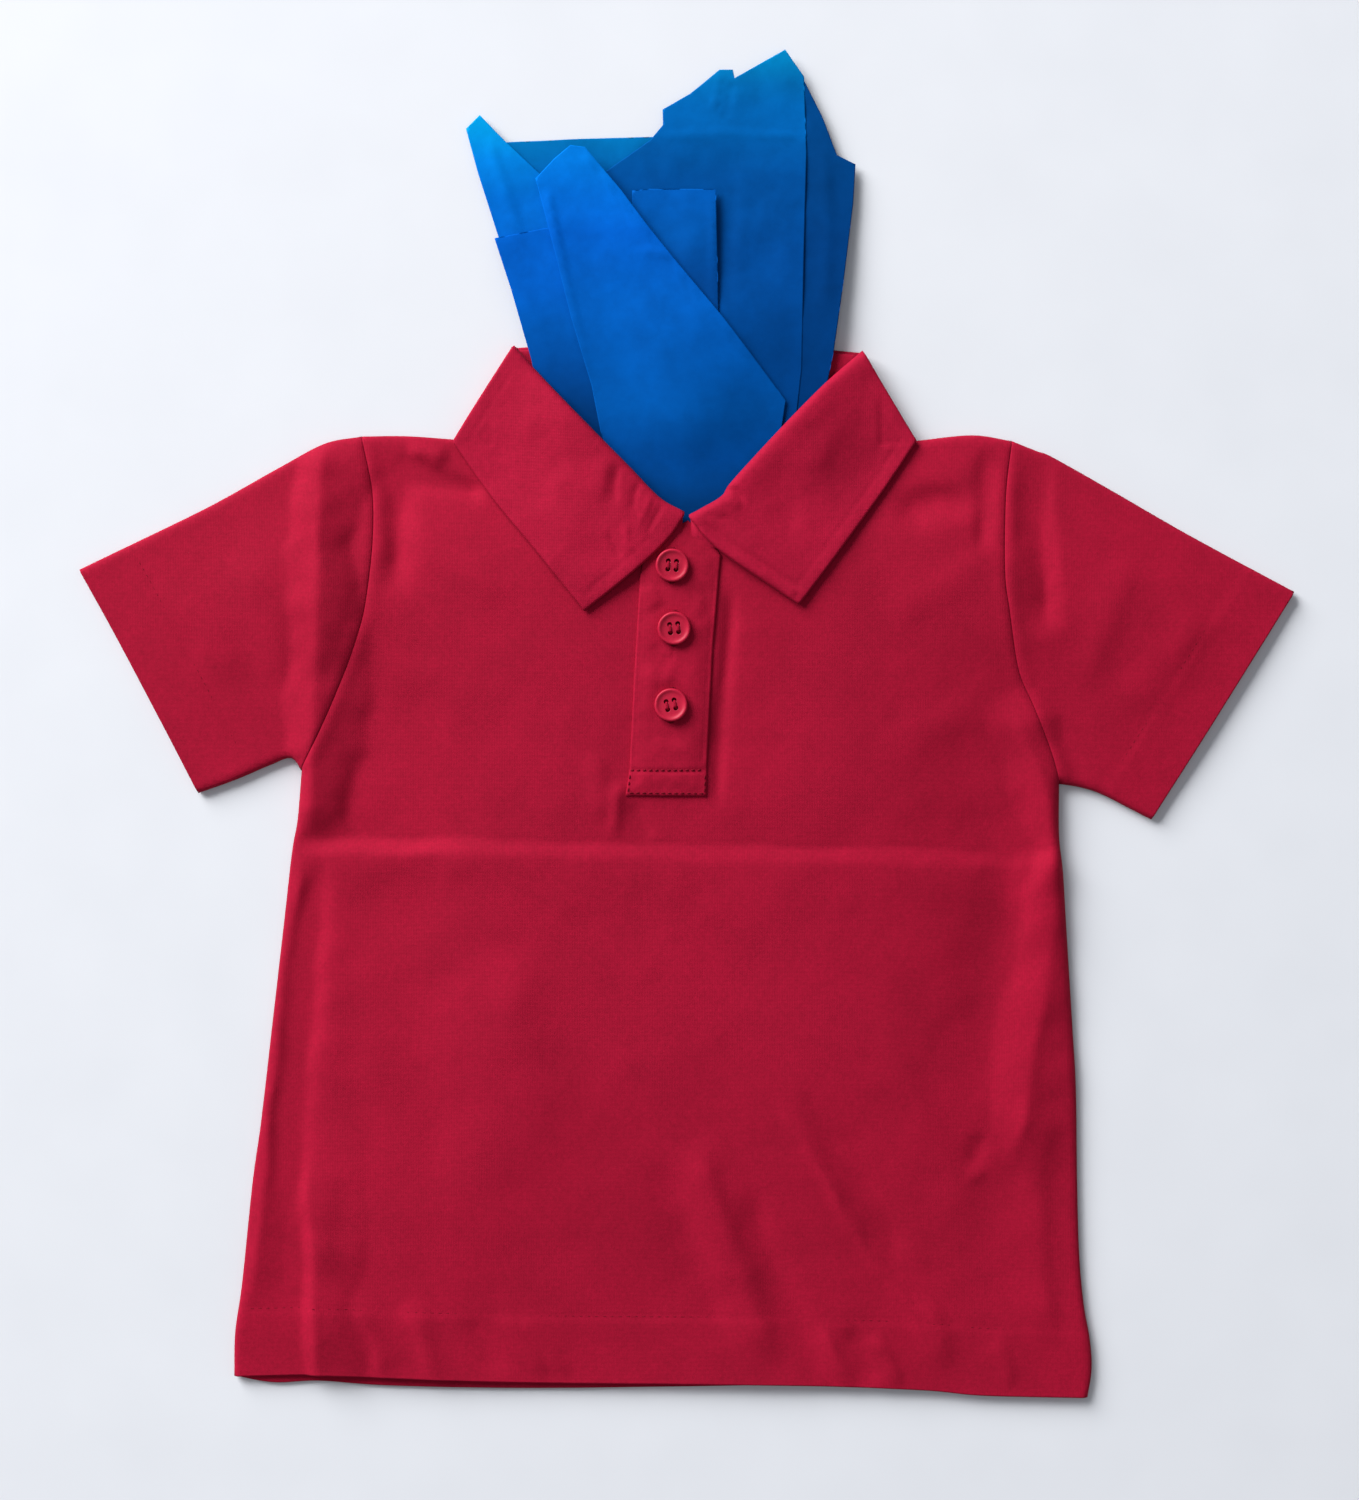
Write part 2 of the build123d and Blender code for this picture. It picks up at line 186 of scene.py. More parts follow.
def tent(t):
    """The profile of a ridge with straight flanks and a tight crest."""
    rest = 1.06 - np.sqrt(t * t + 0.0036)
    return (rest + np.sqrt(rest * rest + 0.004)) / 2


def crease(p, points, height, left, right, fade, profile):
    """A ridge, or a furrow when height is below 0, with its own width on each side of its line."""
    reach = 3.2 * max(left, right)
    line = spline(points, 3.0)
    low, high = line.min(0) - reach, line.max(0) + reach
    near = np.all((p > low) & (p < high), axis=1)
    out = np.zeros(len(p))
    if near.any():
        gap, side, along = nearest(p[near], line)
        width = np.where(side > 0, left, right) * (1 + 0.32 * unevenness(p[near], 24, 14))
        ends = smooth(along / fade) * smooth((1 - along) / fade) if fade else 1.0
        out[near] = height * profile(gap / width) * ends
    return out


def creases(p, folds, profile=bell):
    """The height of a list of folds together."""
    return sum(crease(p, *fold, profile) for fold in folds)


def unevenness(p, size, seed, octaves=2):
    """Smooth random height, about -1 to 1, with features of the given size."""
    angles = np.random.default_rng(seed).uniform(0, 2 * math.pi, (97, 97))
    out = np.zeros(len(p))
    for octave in range(octaves):
        q = p / size * 2.1**octave + 17.3 * octave
        cell = np.floor(q).astype(int)
        f = q - cell
        blend = f**3 * (f * (f * 6 - 15) + 10)
        corners = []
        for i in (0, 1):
            for j in (0, 1):
                angle = angles[(cell[:, 0] + i) % 97, (cell[:, 1] + j) % 97]
                corners.append(np.cos(angle) * (f[:, 0] - i) + np.sin(angle) * (f[:, 1] - j))
        low = corners[0] + blend[:, 1] * (corners[1] - corners[0])
        high = corners[2] + blend[:, 1] * (corners[3] - corners[2])
        out += 1.5 * (low + blend[:, 0] * (high - low)) / 2.1**octave
    return out


def inside(p, loop):
    """Which points are inside a closed outline."""
    hit = np.zeros(len(p), bool)
    for a, b in zip(loop, np.roll(loop, -1, axis=0)):
        if a[1] == b[1]:
            continue
        crosses = (a[1] > p[:, 1]) != (b[1] > p[:, 1])
        x = a[0] + (p[:, 1] - a[1]) * (b[0] - a[0]) / (b[1] - a[1])
        hit ^= crosses & (p[:, 0] < x)
    return hit


def closed(line):
    return np.vstack([line, line[:1]])


def within(p, loop, holes):
    """Which points are inside an outline and outside its holes."""
    keep = inside(p, loop)
    for hole in holes:
        keep &= ~inside(p, hole)
    return keep


def edge_rows(line, loop, holes, rings):
    """Rows of points at the given distances beside one closed outline, where they fall within the piece."""
    normal = np.roll(line, -1, axis=0) - np.roll(line, 1, axis=0)
    normal = np.column_stack([-normal[:, 1], normal[:, 0]])
    normal /= np.maximum(np.linalg.norm(normal, axis=1), 1e-9)[:, None]
    rows = []
    for ring in rings:
        for sign in (1, -1):
            moved = line + sign * ring * normal
            moved = moved[within(moved, loop, holes)]
            if len(moved):
                rows.append(moved[nearest(moved, closed(loop))[0] > 0.9 * ring])
    return rows


def triangulated(loop, holes, grid, rings):
    """Points and triangles that fill an outline: an even grid, with rows of points along the edges."""
    border = [loop, *holes]
    low, high = loop.min(0), loop.max(0)
    xs = np.arange(low[0], high[0], grid)
    ys = np.arange(low[1], high[1], grid * 0.866)
    pts = np.array([(x + (k % 2) * grid / 2, y) for k, y in enumerate(ys) for x in xs])
    pts = pts[within(pts, loop, holes)]
    for line in border:
        pts = pts[nearest(pts, closed(line))[0] > max(rings) + 0.45 * grid]
    rows = [row for line in border for row in edge_rows(line, loop, holes, rings)]
    edges, start = [], 0
    for line in border:
        edges += [(start + k, start + (k + 1) % len(line)) for k in range(len(line))]
        start += len(line)
    verts = [Vector(v) for v in np.vstack([*border, *rows, pts])]
    co, _, faces, _, _, _ = delaunay_2d_cdt(verts, edges, [], 0, 1e-4)
    co = np.array([tuple(v) for v in co])
    faces = np.array([f for f in faces if len(f) == 3])
    faces = faces[within(co[faces].mean(axis=1), loop, holes)]
    a, b, c = co[faces[:, 0]], co[faces[:, 1]], co[faces[:, 2]]
    turn = (b[:, 0] - a[:, 0]) * (c[:, 1] - a[:, 1]) - (b[:, 1] - a[:, 1]) * (c[:, 0] - a[:, 0])
    faces[turn < 0] = faces[turn < 0][:, ::-1]
    used = np.unique(faces)
    renumber = np.full(len(co), -1)
    renumber[used] = np.arange(len(used))
    return co[used], renumber[faces]


def slab(name, loop, top, bottom, grid=GRID, holes=(), rings=(0.45, 1)):
    """A closed cloth-like mesh over an outline, between the heights top(p) and bottom(p)."""
    co, faces = triangulated(loop, holes, grid, rings)
    n = len(co)
    upper = np.column_stack([co, top(co)])
    lower = np.column_stack([co, bottom(co)])
    half = np.vstack([faces[:, [0, 1]], faces[:, [1, 2]], faces[:, [2, 0]]])
    seen = {tuple(e) for e in half.tolist()}
    rim = [(i, j) for i, j in seen if (j, i) not in seen]
    all_faces = faces.tolist() + (faces[:, ::-1] + n).tolist() + [(j, i, i + n, j + n) for i, j in rim]
    return add(name, np.vstack([upper, lower]), all_faces)


def rod_faces(start, rings, sides):
    """The faces of a closed rod whose points lie in rings, numbered from start."""
    faces = []
    for k in range(rings - 1):
        for j in range(sides):
            a, b = start + k * sides + j, start + k * sides + (j + 1) % sides
            faces.append((a, b, b + sides, a + sides))
    first = range(start, start + sides)
    faces.append(tuple(first)[::-1])
    faces.append(tuple(k + (rings - 1) * sides for k in first))
    return faces


def add(name, verts, faces):
    """A smooth-shaded object from points and faces."""
    mesh = bpy.data.meshes.new(name)
    mesh.from_pydata((np.asarray(verts) * MM).tolist(), [], faces)
    mesh.validate()
    mesh.shade_smooth()
    obj = bpy.data.objects.new(name, mesh)
    bpy.context.scene.collection.objects.link(obj)
    return obj


def dress(obj, material, body=None):
    """Give a piece its material, and the body that it rides on."""
    obj.data.materials.append(material)
    if body:
        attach(obj, body)


# ---- the lie of the cloth -----------------------------------------------------------------------
LINES = {name: spline(points) for name, points in OUTLINES.items()}
# How far in from each sewn or folded edge the shirt reaches its full height.
RISE = {
    "shoulder_r": 46, "shoulder_l": 46, "side_r": 86, "side_l": 86,
    "top_r": 56, "top_l": 56, "under_r": 50, "under_l": 50,
}
# The height of the sewn edges, how far the front rolls up from them, and how far it rises where slackest.
EDGE_Z = 1.4
EDGE_ROLL = 1.5
SLACK = 4.9


def remembered(function):
    """Keep a function's answers, because the same points are asked about several times."""
    answers = {}

    def ask(p):
        key = p.tobytes()
        if key not in answers:
            answers[key] = function(p)
        return answers[key]

    return ask


@remembered
def from_edges(p):
    """Each point's distance from the nearest edge in RISE, and how far the cloth has risen there, 0 to 1."""
    gaps = {name: nearest(p, LINES[name])[0] for name in RISE}
    shares = np.array([gaps[name] / reach for name, reach in RISE.items()])
    rise = smooth(np.sum((shares + 0.03) ** -4.0, axis=0) ** -0.25)
    return np.min(list(gaps.values()), axis=0), rise


def from_cuffs(p):
    """Each point's distance from the nearer cuff."""
    return np.minimum(nearest(p, LINES["cuff_r"])[0], nearest(p, LINES["cuff_l"])[0])


FOLD_STRENGTH = 1.4

# Each fold: its line, its height, and its width to the left and to the right of the line's direction.
FOLDS = [
    # the crease across the chest, and the swelling on each side of it
    ([(-131, -36.8), (-70, -37.6), (0, -39.2), (60, -40.6), (126, -41.6)], -0.36, 11, 3.4, 0.03),
    ([(-131, -37.2), (-70, -38), (0, -39.6), (60, -41), (126, -42)], -0.14, 0.9, 1.1, 0.03),
    ([(-131, -43.2), (-70, -43.6), (0, -45.4), (60, -47), (126, -48.2)], 0.5, 3.4, 17, 0.03),
    ([(-131, -43), (-100, -43.2), (-60, -43.8)], 0.8, 3, 8, 0.3),
    # where the sleeves were folded behind
    ([(-98, 93), (-96.4, 74), (-95.4, 58), (-96.5, 40)], -1.5, 4.4, 5, 0.3),
    ([(-97, 88), (-84, 81.5), (-66, 76.5)], -1.5, 3.4, 3.4, 0.2),
    ([(-94, 91.5), (-86, 90), (-78, 89.5)], 0.9, 3, 4, 0.3),
    ([(99.5, 92), (98.5, 74), (97, 56)], -0.8, 4.2, 3, 0.2),
    ([(98, 70), (84, 74), (66, 70)], -1.1, 5, 5, 0.3),
    # where the sides were folded behind
    ([(-122.2, -40), (-124.8, -65), (-127.9, -98), (-130.8, -131), (-133.5, -168)], -1.9, 4.6, 6.4, 0.2),
    ([(-113, -30), (-116, -70), (-119, -110), (-121, -150)], 0.5, 9, 8, 0.2),
    ([(108, -10), (107.5, -34), (105.5, -60), (101.5, -95), (96.5, -130)], -0.8, 6, 12, 0.25),
    ([(97, -134), (95.6, -142), (92.6, -148.5)], -0.45, 2.8, 3.4, 0.35),
    ([(98.4, -146), (95.6, -149.5), (91, -150.5)], 0.3, 2, 2.6, 0.35),
    ([(118, -125), (117, -150), (118, -180), (120, -208)], 0.6, 4, 7, 0.2),
    # slanting drag lines low on the front
    ([(36, -118), (66, -168), (87, -202)], -0.9, 6, 7, 0.25),
    ([(2, -136), (17, -181), (31, -214)], 1.1, 4.5, 8, 0.2),
    ([(-9, -140), (2, -176), (14, -208)], -0.7, 5, 8, 0.25),
    ([(19, -150), (34, -190), (48, -217)], -0.9, 5, 5, 0.25),
    ([(69, -166), (80, -190), (88, -216)], 0.6, 4, 6, 0.25),
    ([(58, -92), (78, -130), (96, -176)], 0.5, 7, 12, 0.3),
    ([(-62, -68), (-54, -110), (-42, -152)], 0.7, 10, 16, 0.3),
    ([(-92, -78), (-88, -120), (-80, -160)], -0.5, 10, 10, 0.3),
    # puckers that run down across the hem
    ([(-111, -188), (-104.5, -202), (-99, -220)], 0.8, 4.6, 2.4, 0.35),
    ([(-94.5, -190), (-88, -204), (-81, -222)], 0.8, 5, 2.4, 0.35),
    ([(-73, -194), (-66, -206), (-60, -217)], -0.5, 3.6, 4, 0.3),
    ([(-61, -194), (-52.5, -207), (-46, -218)], 0.5, 2.2, 4, 0.3),
    ([(44, -199), (50, -209), (56, -220)], 0.7, 1.8, 3.4, 0.3),
    ([(53, -200), (58.5, -209), (63, -220)], -0.5, 2.2, 2.6, 0.3),
    ([(62, -201), (66.5, -210), (71, -221)], 0.6, 1.8, 3.2, 0.3),
    ([(102, -203), (106, -212), (109, -222)], 0.4, 2.2, 3.2, 0.3),
    # beside the placket and under its foot
    ([(14.5, 48), (12.6, 20), (10.8, -10), (9.5, -28)], -0.8, 2.6, 2.2, 0.15),
    ([(24, 42), (22, 15), (20, -12)], 0.2, 6, 8, 0.25),
    ([(-21.2, -18), (-22.6, -26), (-22.4, -38)], 0.8, 2.2, 2.8, 0.3),
    ([(-17, -25), (-15, -32), (-10, -38)], -0.5, 2.4, 2.6, 0.3),
    ([(-32, -8), (-29, -20), (-26, -34)], 0.5, 3, 4, 0.3),
    # across the chest, from the armholes
    ([(-100, 66), (-78, 52), (-52, 40)], 0.45, 6, 7, 0.3),
    ([(-108, 20), (-84, 16), (-58, 4)], 0.4, 7, 8, 0.3),
    ([(103, 60), (84, 44), (64, 36)], 0.45, 6, 7, 0.3),
    ([(110, 8), (88, 2), (62, -12)], 0.4, 7, 8, 0.3),
    # sleeves
    ([(-178, 48), (-160, 32), (-144, 12)], 0.45, 6, 6, 0.3),
    ([(-150, 58), (-140, 38), (-134, 10)], 0.4, 5, 6, 0.3),
    ([(176, 40), (160, 22), (146, 0)], 0.45, 6, 6, 0.3),
    ([(150, 58), (140, 36), (132, 8)], 0.4, 5, 6, 0.3),
]

# Sharper bends, in the same form: where the shirt was folded round its card, along its side edges, beside the
# armholes, and the longest drag lines low on the front.
BENDS = [
    ([(-119.6, 98), (-120.6, 78), (-121.4, 55), (-121.8, 34), (-122.4, 12), (-123.4, -12), (-125, -40)],
     4.2, 15, 9.8, 0.1),
    ([(123, -30), (123.4, -45), (122.6, -62), (118.6, -92), (113.4, -122), (107.4, -152)],
     2.5, 16, 12, 0.2),
    ([(107, 12), (111.5, -3), (115.5, -12), (120.5, -27), (123.4, -43), (124, -58)], 2.8, 13, 9.5, 0.2),
    ([(-127.6, -34), (-130.6, -62), (-134.5, -98), (-138.4, -131), (-142.2, -163), (-145.8, -198)],
     1.3, 8.5, 2.6, 0.14),
    ([(117.6, 94), (117.4, 76), (118.2, 54), (119.2, 28)], -2, 5, 11, 0.2),
    ([(-127.6, -128), (-125.4, -160), (-123.6, -190), (-122.8, -215), (-122.4, -245)], 3, 17, 3.5, 0.42),
    ([(28, -122), (44, -148), (62, -176), (82, -206)], 1.2, 10, 2.6, 0.22),
    ([(-56, -196), (-48, -206), (-40, -218)], 0.6, 5, 2.2, 0.25),
]


def lie(p):
    """Height of the shirt's front without its folds."""
    d, rise = from_edges(p)
    hem = nearest(p, LINES["hem_front"])[0]
    cuffs = from_cuffs(p)
    openness = (0.14 + 0.86 * smooth(hem / 120)) * (0.18 + 0.82 * smooth(cuffs / 80))
    closing = 0.5 * (1 - smooth(np.minimum(hem, cuffs) / 26)) * rounded(d, 6.0)
    return EDGE_Z + EDGE_ROLL * rounded(d, 2.0) + SLACK * rise * openness - closing


def wander(p):
    """The points moved a little at random, so that folds don't run dead true."""
    return p + np.column_stack([
        1.2 * unevenness(p, 30.0, 4) + 0.3 * unevenness(p, 9.0, 5),
        0.9 * unevenness(p, 30.0, 6) + 0.25 * unevenness(p, 9.0, 7),
    ])


@remembered
def front_z(p):
    """Height of the shirt's front, sleeves included."""
    z = lie(p)
    d = from_edges(p)[0]
    soft = rounded(d, 5.0)
    moved = wander(p)
    strength = 1 + 0.28 * unevenness(p, 24.0, 8)
    z += strength * (FOLD_STRENGTH * creases(moved, FOLDS) + creases(moved, BENDS, tent)) * soft
    for side in ("armhole_r", "armhole_l"):
        gap = nearest(p, LINES[side])[0]
        z -= 0.32 * bell(gap / 0.6) * soft
        z += 0.12 * bell((gap - 2.4) / 1.4) * soft
    z += (0.42 * unevenness(p, 58.0, 1) + 0.12 * unevenness(p, 23.0, 2) + 0.05 * unevenness(p, 9.0, 3)) * soft
    z += hem_relief(nearest(p, LINES["hem_front"])[0] - HEM_ROW)
    for side in ("cuff_r", "cuff_l"):
        z += hem_relief(nearest(p, LINES[side])[0] - SLEEVE_HEM)
    lowest = 1.1 + 1.45 * rounded(d, 2.4)
    return np.logaddexp(3 * z, 3 * lowest) / 3


def hem_relief(row):
    """The step up on to a turned-in hem and the furrow of its stitches; row is the distance past them."""
    return 0.22 * (1 - smooth((row + 2.5) / 5.0)) - 0.16 * bell(row / 0.7)


def cloth_thickness(p, hem_line):
    """One layer, two at the turned-in hems, and thin where the panels are sewn together."""
    d = from_edges(p)[0]
    hem = nearest(p, LINES[hem_line])[0]
    cuffs = from_cuffs(p)
    doubled = np.maximum(1 - smooth((hem - HEM_ROW) / 1.5), 1 - smooth((cuffs - SLEEVE_HEM) / 1.5))
    return (CLOTH + (HEM - CLOTH) * doubled) * (0.2 + 0.8 * smooth(d / 3.5))


def front_under(p):
    return front_z(p) - cloth_thickness(p, "hem_front")


def back_z(p):
    """Height of the back panel's underside: it lies on the table and lifts where it meets the front."""
    d = from_edges(p)[0]
    lift = 1.0 - rounded(d, 3.5)
    return EDGE_Z * 0.8 * lift + 0.12 * (1 + unevenness(p, 22.0, 9)) * rounded(d, 9.0)


def back_top(p):
    return back_z(p) + cloth_thickness(p, "hem_back")


# ---- materials ----------------------------------------------------------------------------------
class Recipe:
    """A material in the making: its nodes are added and wired by name."""

    def __init__(self, name):
        self.material = bpy.data.materials.new(name)
        self.material.use_nodes = True
        self.tree = self.material.node_tree
        self.shader = self.tree.nodes["Principled BSDF"]
        self.place = self.add("TexCoord")

    def add(self, kind, inputs=(), **settings):
        """A node with its inputs, which are (name or number, value) pairs, and its settings."""
        node = self.tree.nodes.new(f"ShaderNode{kind}")
        for name, value in settings.items():
            setattr(node, name, value)
        for name, value in inputs:
            node.inputs[name].default_value = value
        return node

    def texture(self, kind, inputs, **settings):
        """A texture that is fixed to the object."""
        node = self.add(f"Tex{kind}", inputs, **settings)
        self.wire(self.place, "Object", node, "Vector")
        return node

    def wire(self, source, output, target, name):
        self.tree.links.new(source.outputs[output], target.inputs[name])

    def ramp(self, source, output, stops):
        """A colour ramp through (position, colour) stops."""
        node = self.add("ValToRGB")
        elements = node.color_ramp.elements
        while len(elements) < len(stops):
            elements.new(0.5)
        for element, (position, colour) in zip(elements, stops):
            element.position = position
            element.color = (*colour, 1)
        self.wire(source, output, node, "Fac")
        return node

    def span(self, source, output, low, high, to_low, to_high):
        """A value's range moved on to another one."""
        limits = (("From Min", low), ("From Max", high), ("To Min", to_low), ("To Max", to_high))
        node = self.add("MapRange", limits)
        self.wire(source, output, node, "Value")
        return node

    def multiply(self, colour, value, share):
        """A colour times a value."""
        node = self.add("Mix", (), data_type="RGBA", blend_type="MULTIPLY")
        node.inputs["Factor"].default_value = share
        self.wire(colour, "Color", node, "A")
        self.wire(value, "Result", node, "B")
        return node

    def combine(self, first, first_output, factor, second, second_output):
        """One texture times a factor, plus another."""
        node = self.add("Math", [(1, factor)], operation="MULTIPLY_ADD")
        self.wire(first, first_output, node, 0)
        self.wire(second, second_output, node, 2)
        return node

    def bump(self, source, output, strength, depth):
        node = self.add("Bump", [("Strength", strength), ("Distance", depth * MM)])
        self.wire(source, output, node, "Height")
        self.wire(node, "Normal", self.shader, "Normal")

    def finish(self, source, output, rough, specular, more=()):
        """The base colour and the shader's own values; returns the material."""
        self.wire(source, output, self.shader, "Base Color")
        for name, value in (("Roughness", rough), ("Specular IOR Level", specular), *more):
            self.shader.inputs[name].default_value = value
        return self.material


def shades(colour, dark, light):
    """A darker and a lighter shade of a colour."""
    return [c * dark for c in colour], [min(1, c * light) for c in colour]


def knit(name, colour, rough, wale, depth, fuzz):
    """Cotton knit: fine wales and courses, uneven dye and a soft fuzz."""
    mix = Recipe(name)
    wave = [("Distortion", 2.6), ("Detail Scale", 3.0)]
    wales = mix.texture("Wave", [("Scale", 0.314 / (wale * MM)), *wave], bands_direction="X")
    courses = mix.texture("Wave", [("Scale", 0.314 / (wale * 0.8 * MM)), *wave], bands_direction="Y")
    fibres = mix.texture("Noise", [("Scale", 800), ("Detail", 6), ("Roughness", 0.75)])
    patches = mix.texture("Noise", [("Scale", 45), ("Detail", 9), ("Roughness", 0.72)])
    weave = mix.add("Math", operation="MULTIPLY")
    mix.wire(wales, "Fac", weave, 0)
    mix.wire(courses, "Fac", weave, 1)
    mix.bump(mix.combine(fibres, "Fac", 0.6, weave, "Value"), "Value", 0.42, depth)
    dark, light = shades(colour, 0.9, 1.08)
    tint = mix.ramp(patches, "Fac", [(0.3, dark), (0.7, light)])
    speck = mix.multiply(tint, mix.span(fibres, "Fac", 0.25, 0.75, 0.4, 0.8), 0.68)
    sheen = [("Sheen Weight", fuzz), ("Sheen Roughness", 0.5), ("Sheen Tint", (1.0, 0.35, 0.5, 1))]
    return mix.finish(speck, "Result", rough, 0.08, sheen)


def resin(name, colour):
    """Moulded resin of a button, with faint swirls and fine wear."""
    mix = Recipe(name)
    swirl = mix.texture("Noise", [("Scale", 350), ("Detail", 3), ("Distortion", 1.5)])
    dark, light = shades(colour, 0.8, 1.2)
    mix.bump(swirl, "Fac", 0.15, 0.05)
    return mix.finish(mix.ramp(swirl, "Fac", [(0, dark), (1, light)]), "Color", 0.42, 0.2)


def yarn(name, colour):
    """Sewing thread, with its twist."""
    mix = Recipe(name)
    twist = mix.texture("Wave", [("Scale", 900)], bands_direction="DIAGONAL")
    dark, light = shades(colour, 0.7, 1.1)
    mix.bump(twist, "Fac", 0.6, 0.05)
    return mix.finish(mix.ramp(twist, "Fac", [(0, dark), (1, light)]), "Color", 0.7, 0.06)


def tissue_paper(name, tones_and_shade):
    """Thin tissue: matt, cloudy and finely crinkled. Each tone is (y, green, blue), from the bottom up: the
    paper is darker low in the neck, partly as painted shade of the collar and partly for its many layers
    there, and paler where one layer is left."""
    mix = Recipe(name)
    low, high = tones_and_shade[0][0], tones_and_shade[-1][0]
    split = mix.add("SeparateXYZ")
    mix.wire(mix.place, "Object", split, "Vector")
    height = mix.span(split, "Y", low * MM, high * MM, 0, 1)
    stops = [((y - low) / (high - low), (0.0, green, blue)) for y, green, blue in tones_and_shade]
    # Colour up the sheet: darker low in the neck, painted shade of the collar together with the deeper colour
    # of many layers.
    tint = mix.ramp(height, "Result", stops)
    cloud = mix.texture("Noise", [("Scale", 60), ("Detail", 9), ("Roughness", 0.68)])
    cloudy = mix.multiply(tint, mix.span(cloud, "Fac", 0.3, 0.7, 0.76, 1.06), 1.0)
    crinkle = mix.texture("Voronoi", [("Scale", 48)], feature="DISTANCE_TO_EDGE")
    fine = mix.texture("Noise", [("Scale", 500), ("Detail", 3)])
    mix.bump(mix.combine(fine, "Fac", 0.3, crinkle, "Distance"), "Value", 0.25, 0.3)
    return mix.finish(cloudy, "Result", 0.75, 0.02)


def floor_material():
    """A plain pale table with the faintest grain."""
    mix = Recipe("pale_table")
    grain = mix.texture("Noise", [("Scale", 30)])
    tint = mix.ramp(grain, "Fac", [(0, (0.615, 0.635, 0.67)), (1, (0.655, 0.675, 0.71))])
    return mix.finish(tint, "Color", 0.8, 0.5)


JERSEY = knit("red_jersey_knit", (0.408, 0.0048, 0.032), 0.8, 0.55, 0.11, 0.02)
COLLAR_KNIT = knit("red_collar_knit", (0.428, 0.0053, 0.036), 0.78, 0.6, 0.11, 0.02)
# The sewing thread's own red, darkened well below the cloth's as painted shade of the dents its stitches sink
# into.
THREAD_AND_PAINTED_SHADE = yarn("red_sewing_thread_and_painted_shade", (0.17, 0.003, 0.014))
BUTTON_THREAD = yarn("red_button_thread", (0.30, 0.005, 0.024))
RESIN = resin("red_button_resin", (0.37, 0.006, 0.03))
# The tones of each sheet of tissue, with painted shade of the collar low in the neck: (y, green, blue) from
# the bottom up.
TISSUE_TONES_AND_SHADE = {
    "front": [(72, 0.034, 0.15), (88, 0.056, 0.26), (105, 0.075, 0.325), (142, 0.088, 0.41),
              (163, 0.088, 0.45), (176, 0.128, 0.57), (188, 0.16, 0.60)],
    "back_left": [(155, 0.092, 0.44), (175, 0.126, 0.524), (188, 0.18, 0.595), (200, 0.28, 0.64)],
    "right": [(104, 0.03, 0.14), (118, 0.055, 0.26), (132, 0.08, 0.37), (145, 0.09, 0.45),
              (160, 0.094, 0.47)],
    "left": [(115, 0.050, 0.23), (158, 0.056, 0.253), (182, 0.066, 0.275), (193, 0.082, 0.31),
             (196, 0.102, 0.37), (206, 0.112, 0.385), (213, 0.125, 0.38), (222, 0.205, 0.475)],
    "turned": [(110, 0.036, 0.165), (160, 0.038, 0.172), (200, 0.05, 0.20)],
    "middle": [(135, 0.044, 0.21), (150, 0.05, 0.235), (163, 0.069, 0.307), (176, 0.082, 0.37)],
    "back": [(180, 0.09, 0.33), (190, 0.13, 0.39), (196, 0.155, 0.42)],
}


# ---- shirt body and sleeves ---------------------------------------------------------------------
def body_panels():
    """The front and the back, each one cloth."""
    front_loop = loop_of(
        LINES["shoulder_r"], LINES["neck"], LINES["shoulder_l"], LINES["armhole_l"], LINES["side_l"],
        LINES["hem_front"], LINES["side_r"], LINES["armhole_r"],
    )
    back_loop = loop_of(
        LINES["shoulder_r"], LINES["back_neck"], LINES["shoulder_l"], LINES["armhole_l"], LINES["side_l"],
        LINES["hem_back"], LINES["side_r"], LINES["armhole_r"],
    )
    front = slab("shirt_front", front_loop, front_z, front_under)
    back = slab("shirt_back", back_loop, back_top, back_z, grid=2.4)
    for obj, loop, z in ((front, front_loop, 6), (back, back_loop, 0)):
        dress(obj, JERSEY)
        start, end = [(0, (FOLD_Y + way * BODY_ROLL) * MM, z * MM) for way in (1, -1)]
        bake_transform(obj)
        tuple(start)
        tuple(end)
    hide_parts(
        "front_panel_upper", "front_panel_lower", "placket_under", "hem_front",
        "side_seam_right_upper", "side_seam_left_upper", "side_seam_right_lower", "side_seam_left_lower",
        "shoulder_seam_right", "shoulder_seam_left", "armhole_seam_right", "armhole_seam_left",
    )
    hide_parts("back_panel_upper", "back_panel_lower", "hem_back")


def sleeve(side, body, shift, chord, outward):
    """One flattened sleeve: front and back layers that meet along the folded top and the underarm."""
    arm = LINES[f"armhole_{side}"] + np.array([shift, 0])
    loop = loop_of(arm, LINES[f"under_{side}"], LINES[f"cuff_{side}"], LINES[f"top_{side}"])
    front = slab(f"sleeve_front_{side}", loop, front_z, front_under)
    back = slab(f"sleeve_back_{side}", loop, back_top, back_z, grid=2.0)
    middle = np.array(chord)
    out = np.array(outward)
    for obj, z in ((front, 5), (back, 0)):
        dress(obj, JERSEY)
        start, end = [(*((middle + reach * out) * MM), z * MM) for reach in SLEEVE_ROLL]
        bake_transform(obj)
        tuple(start)
        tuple(end)
    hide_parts(body, body.replace("sleeve", "sleeve_hem"))


body_panels()
sleeve("r", "sleeve_right", -0.03, (-117.2, 40.5), (-0.982, 0.186))
sleeve("l", "sleeve_left", 0.03, (115.5, 38), (0.990, 0.143))


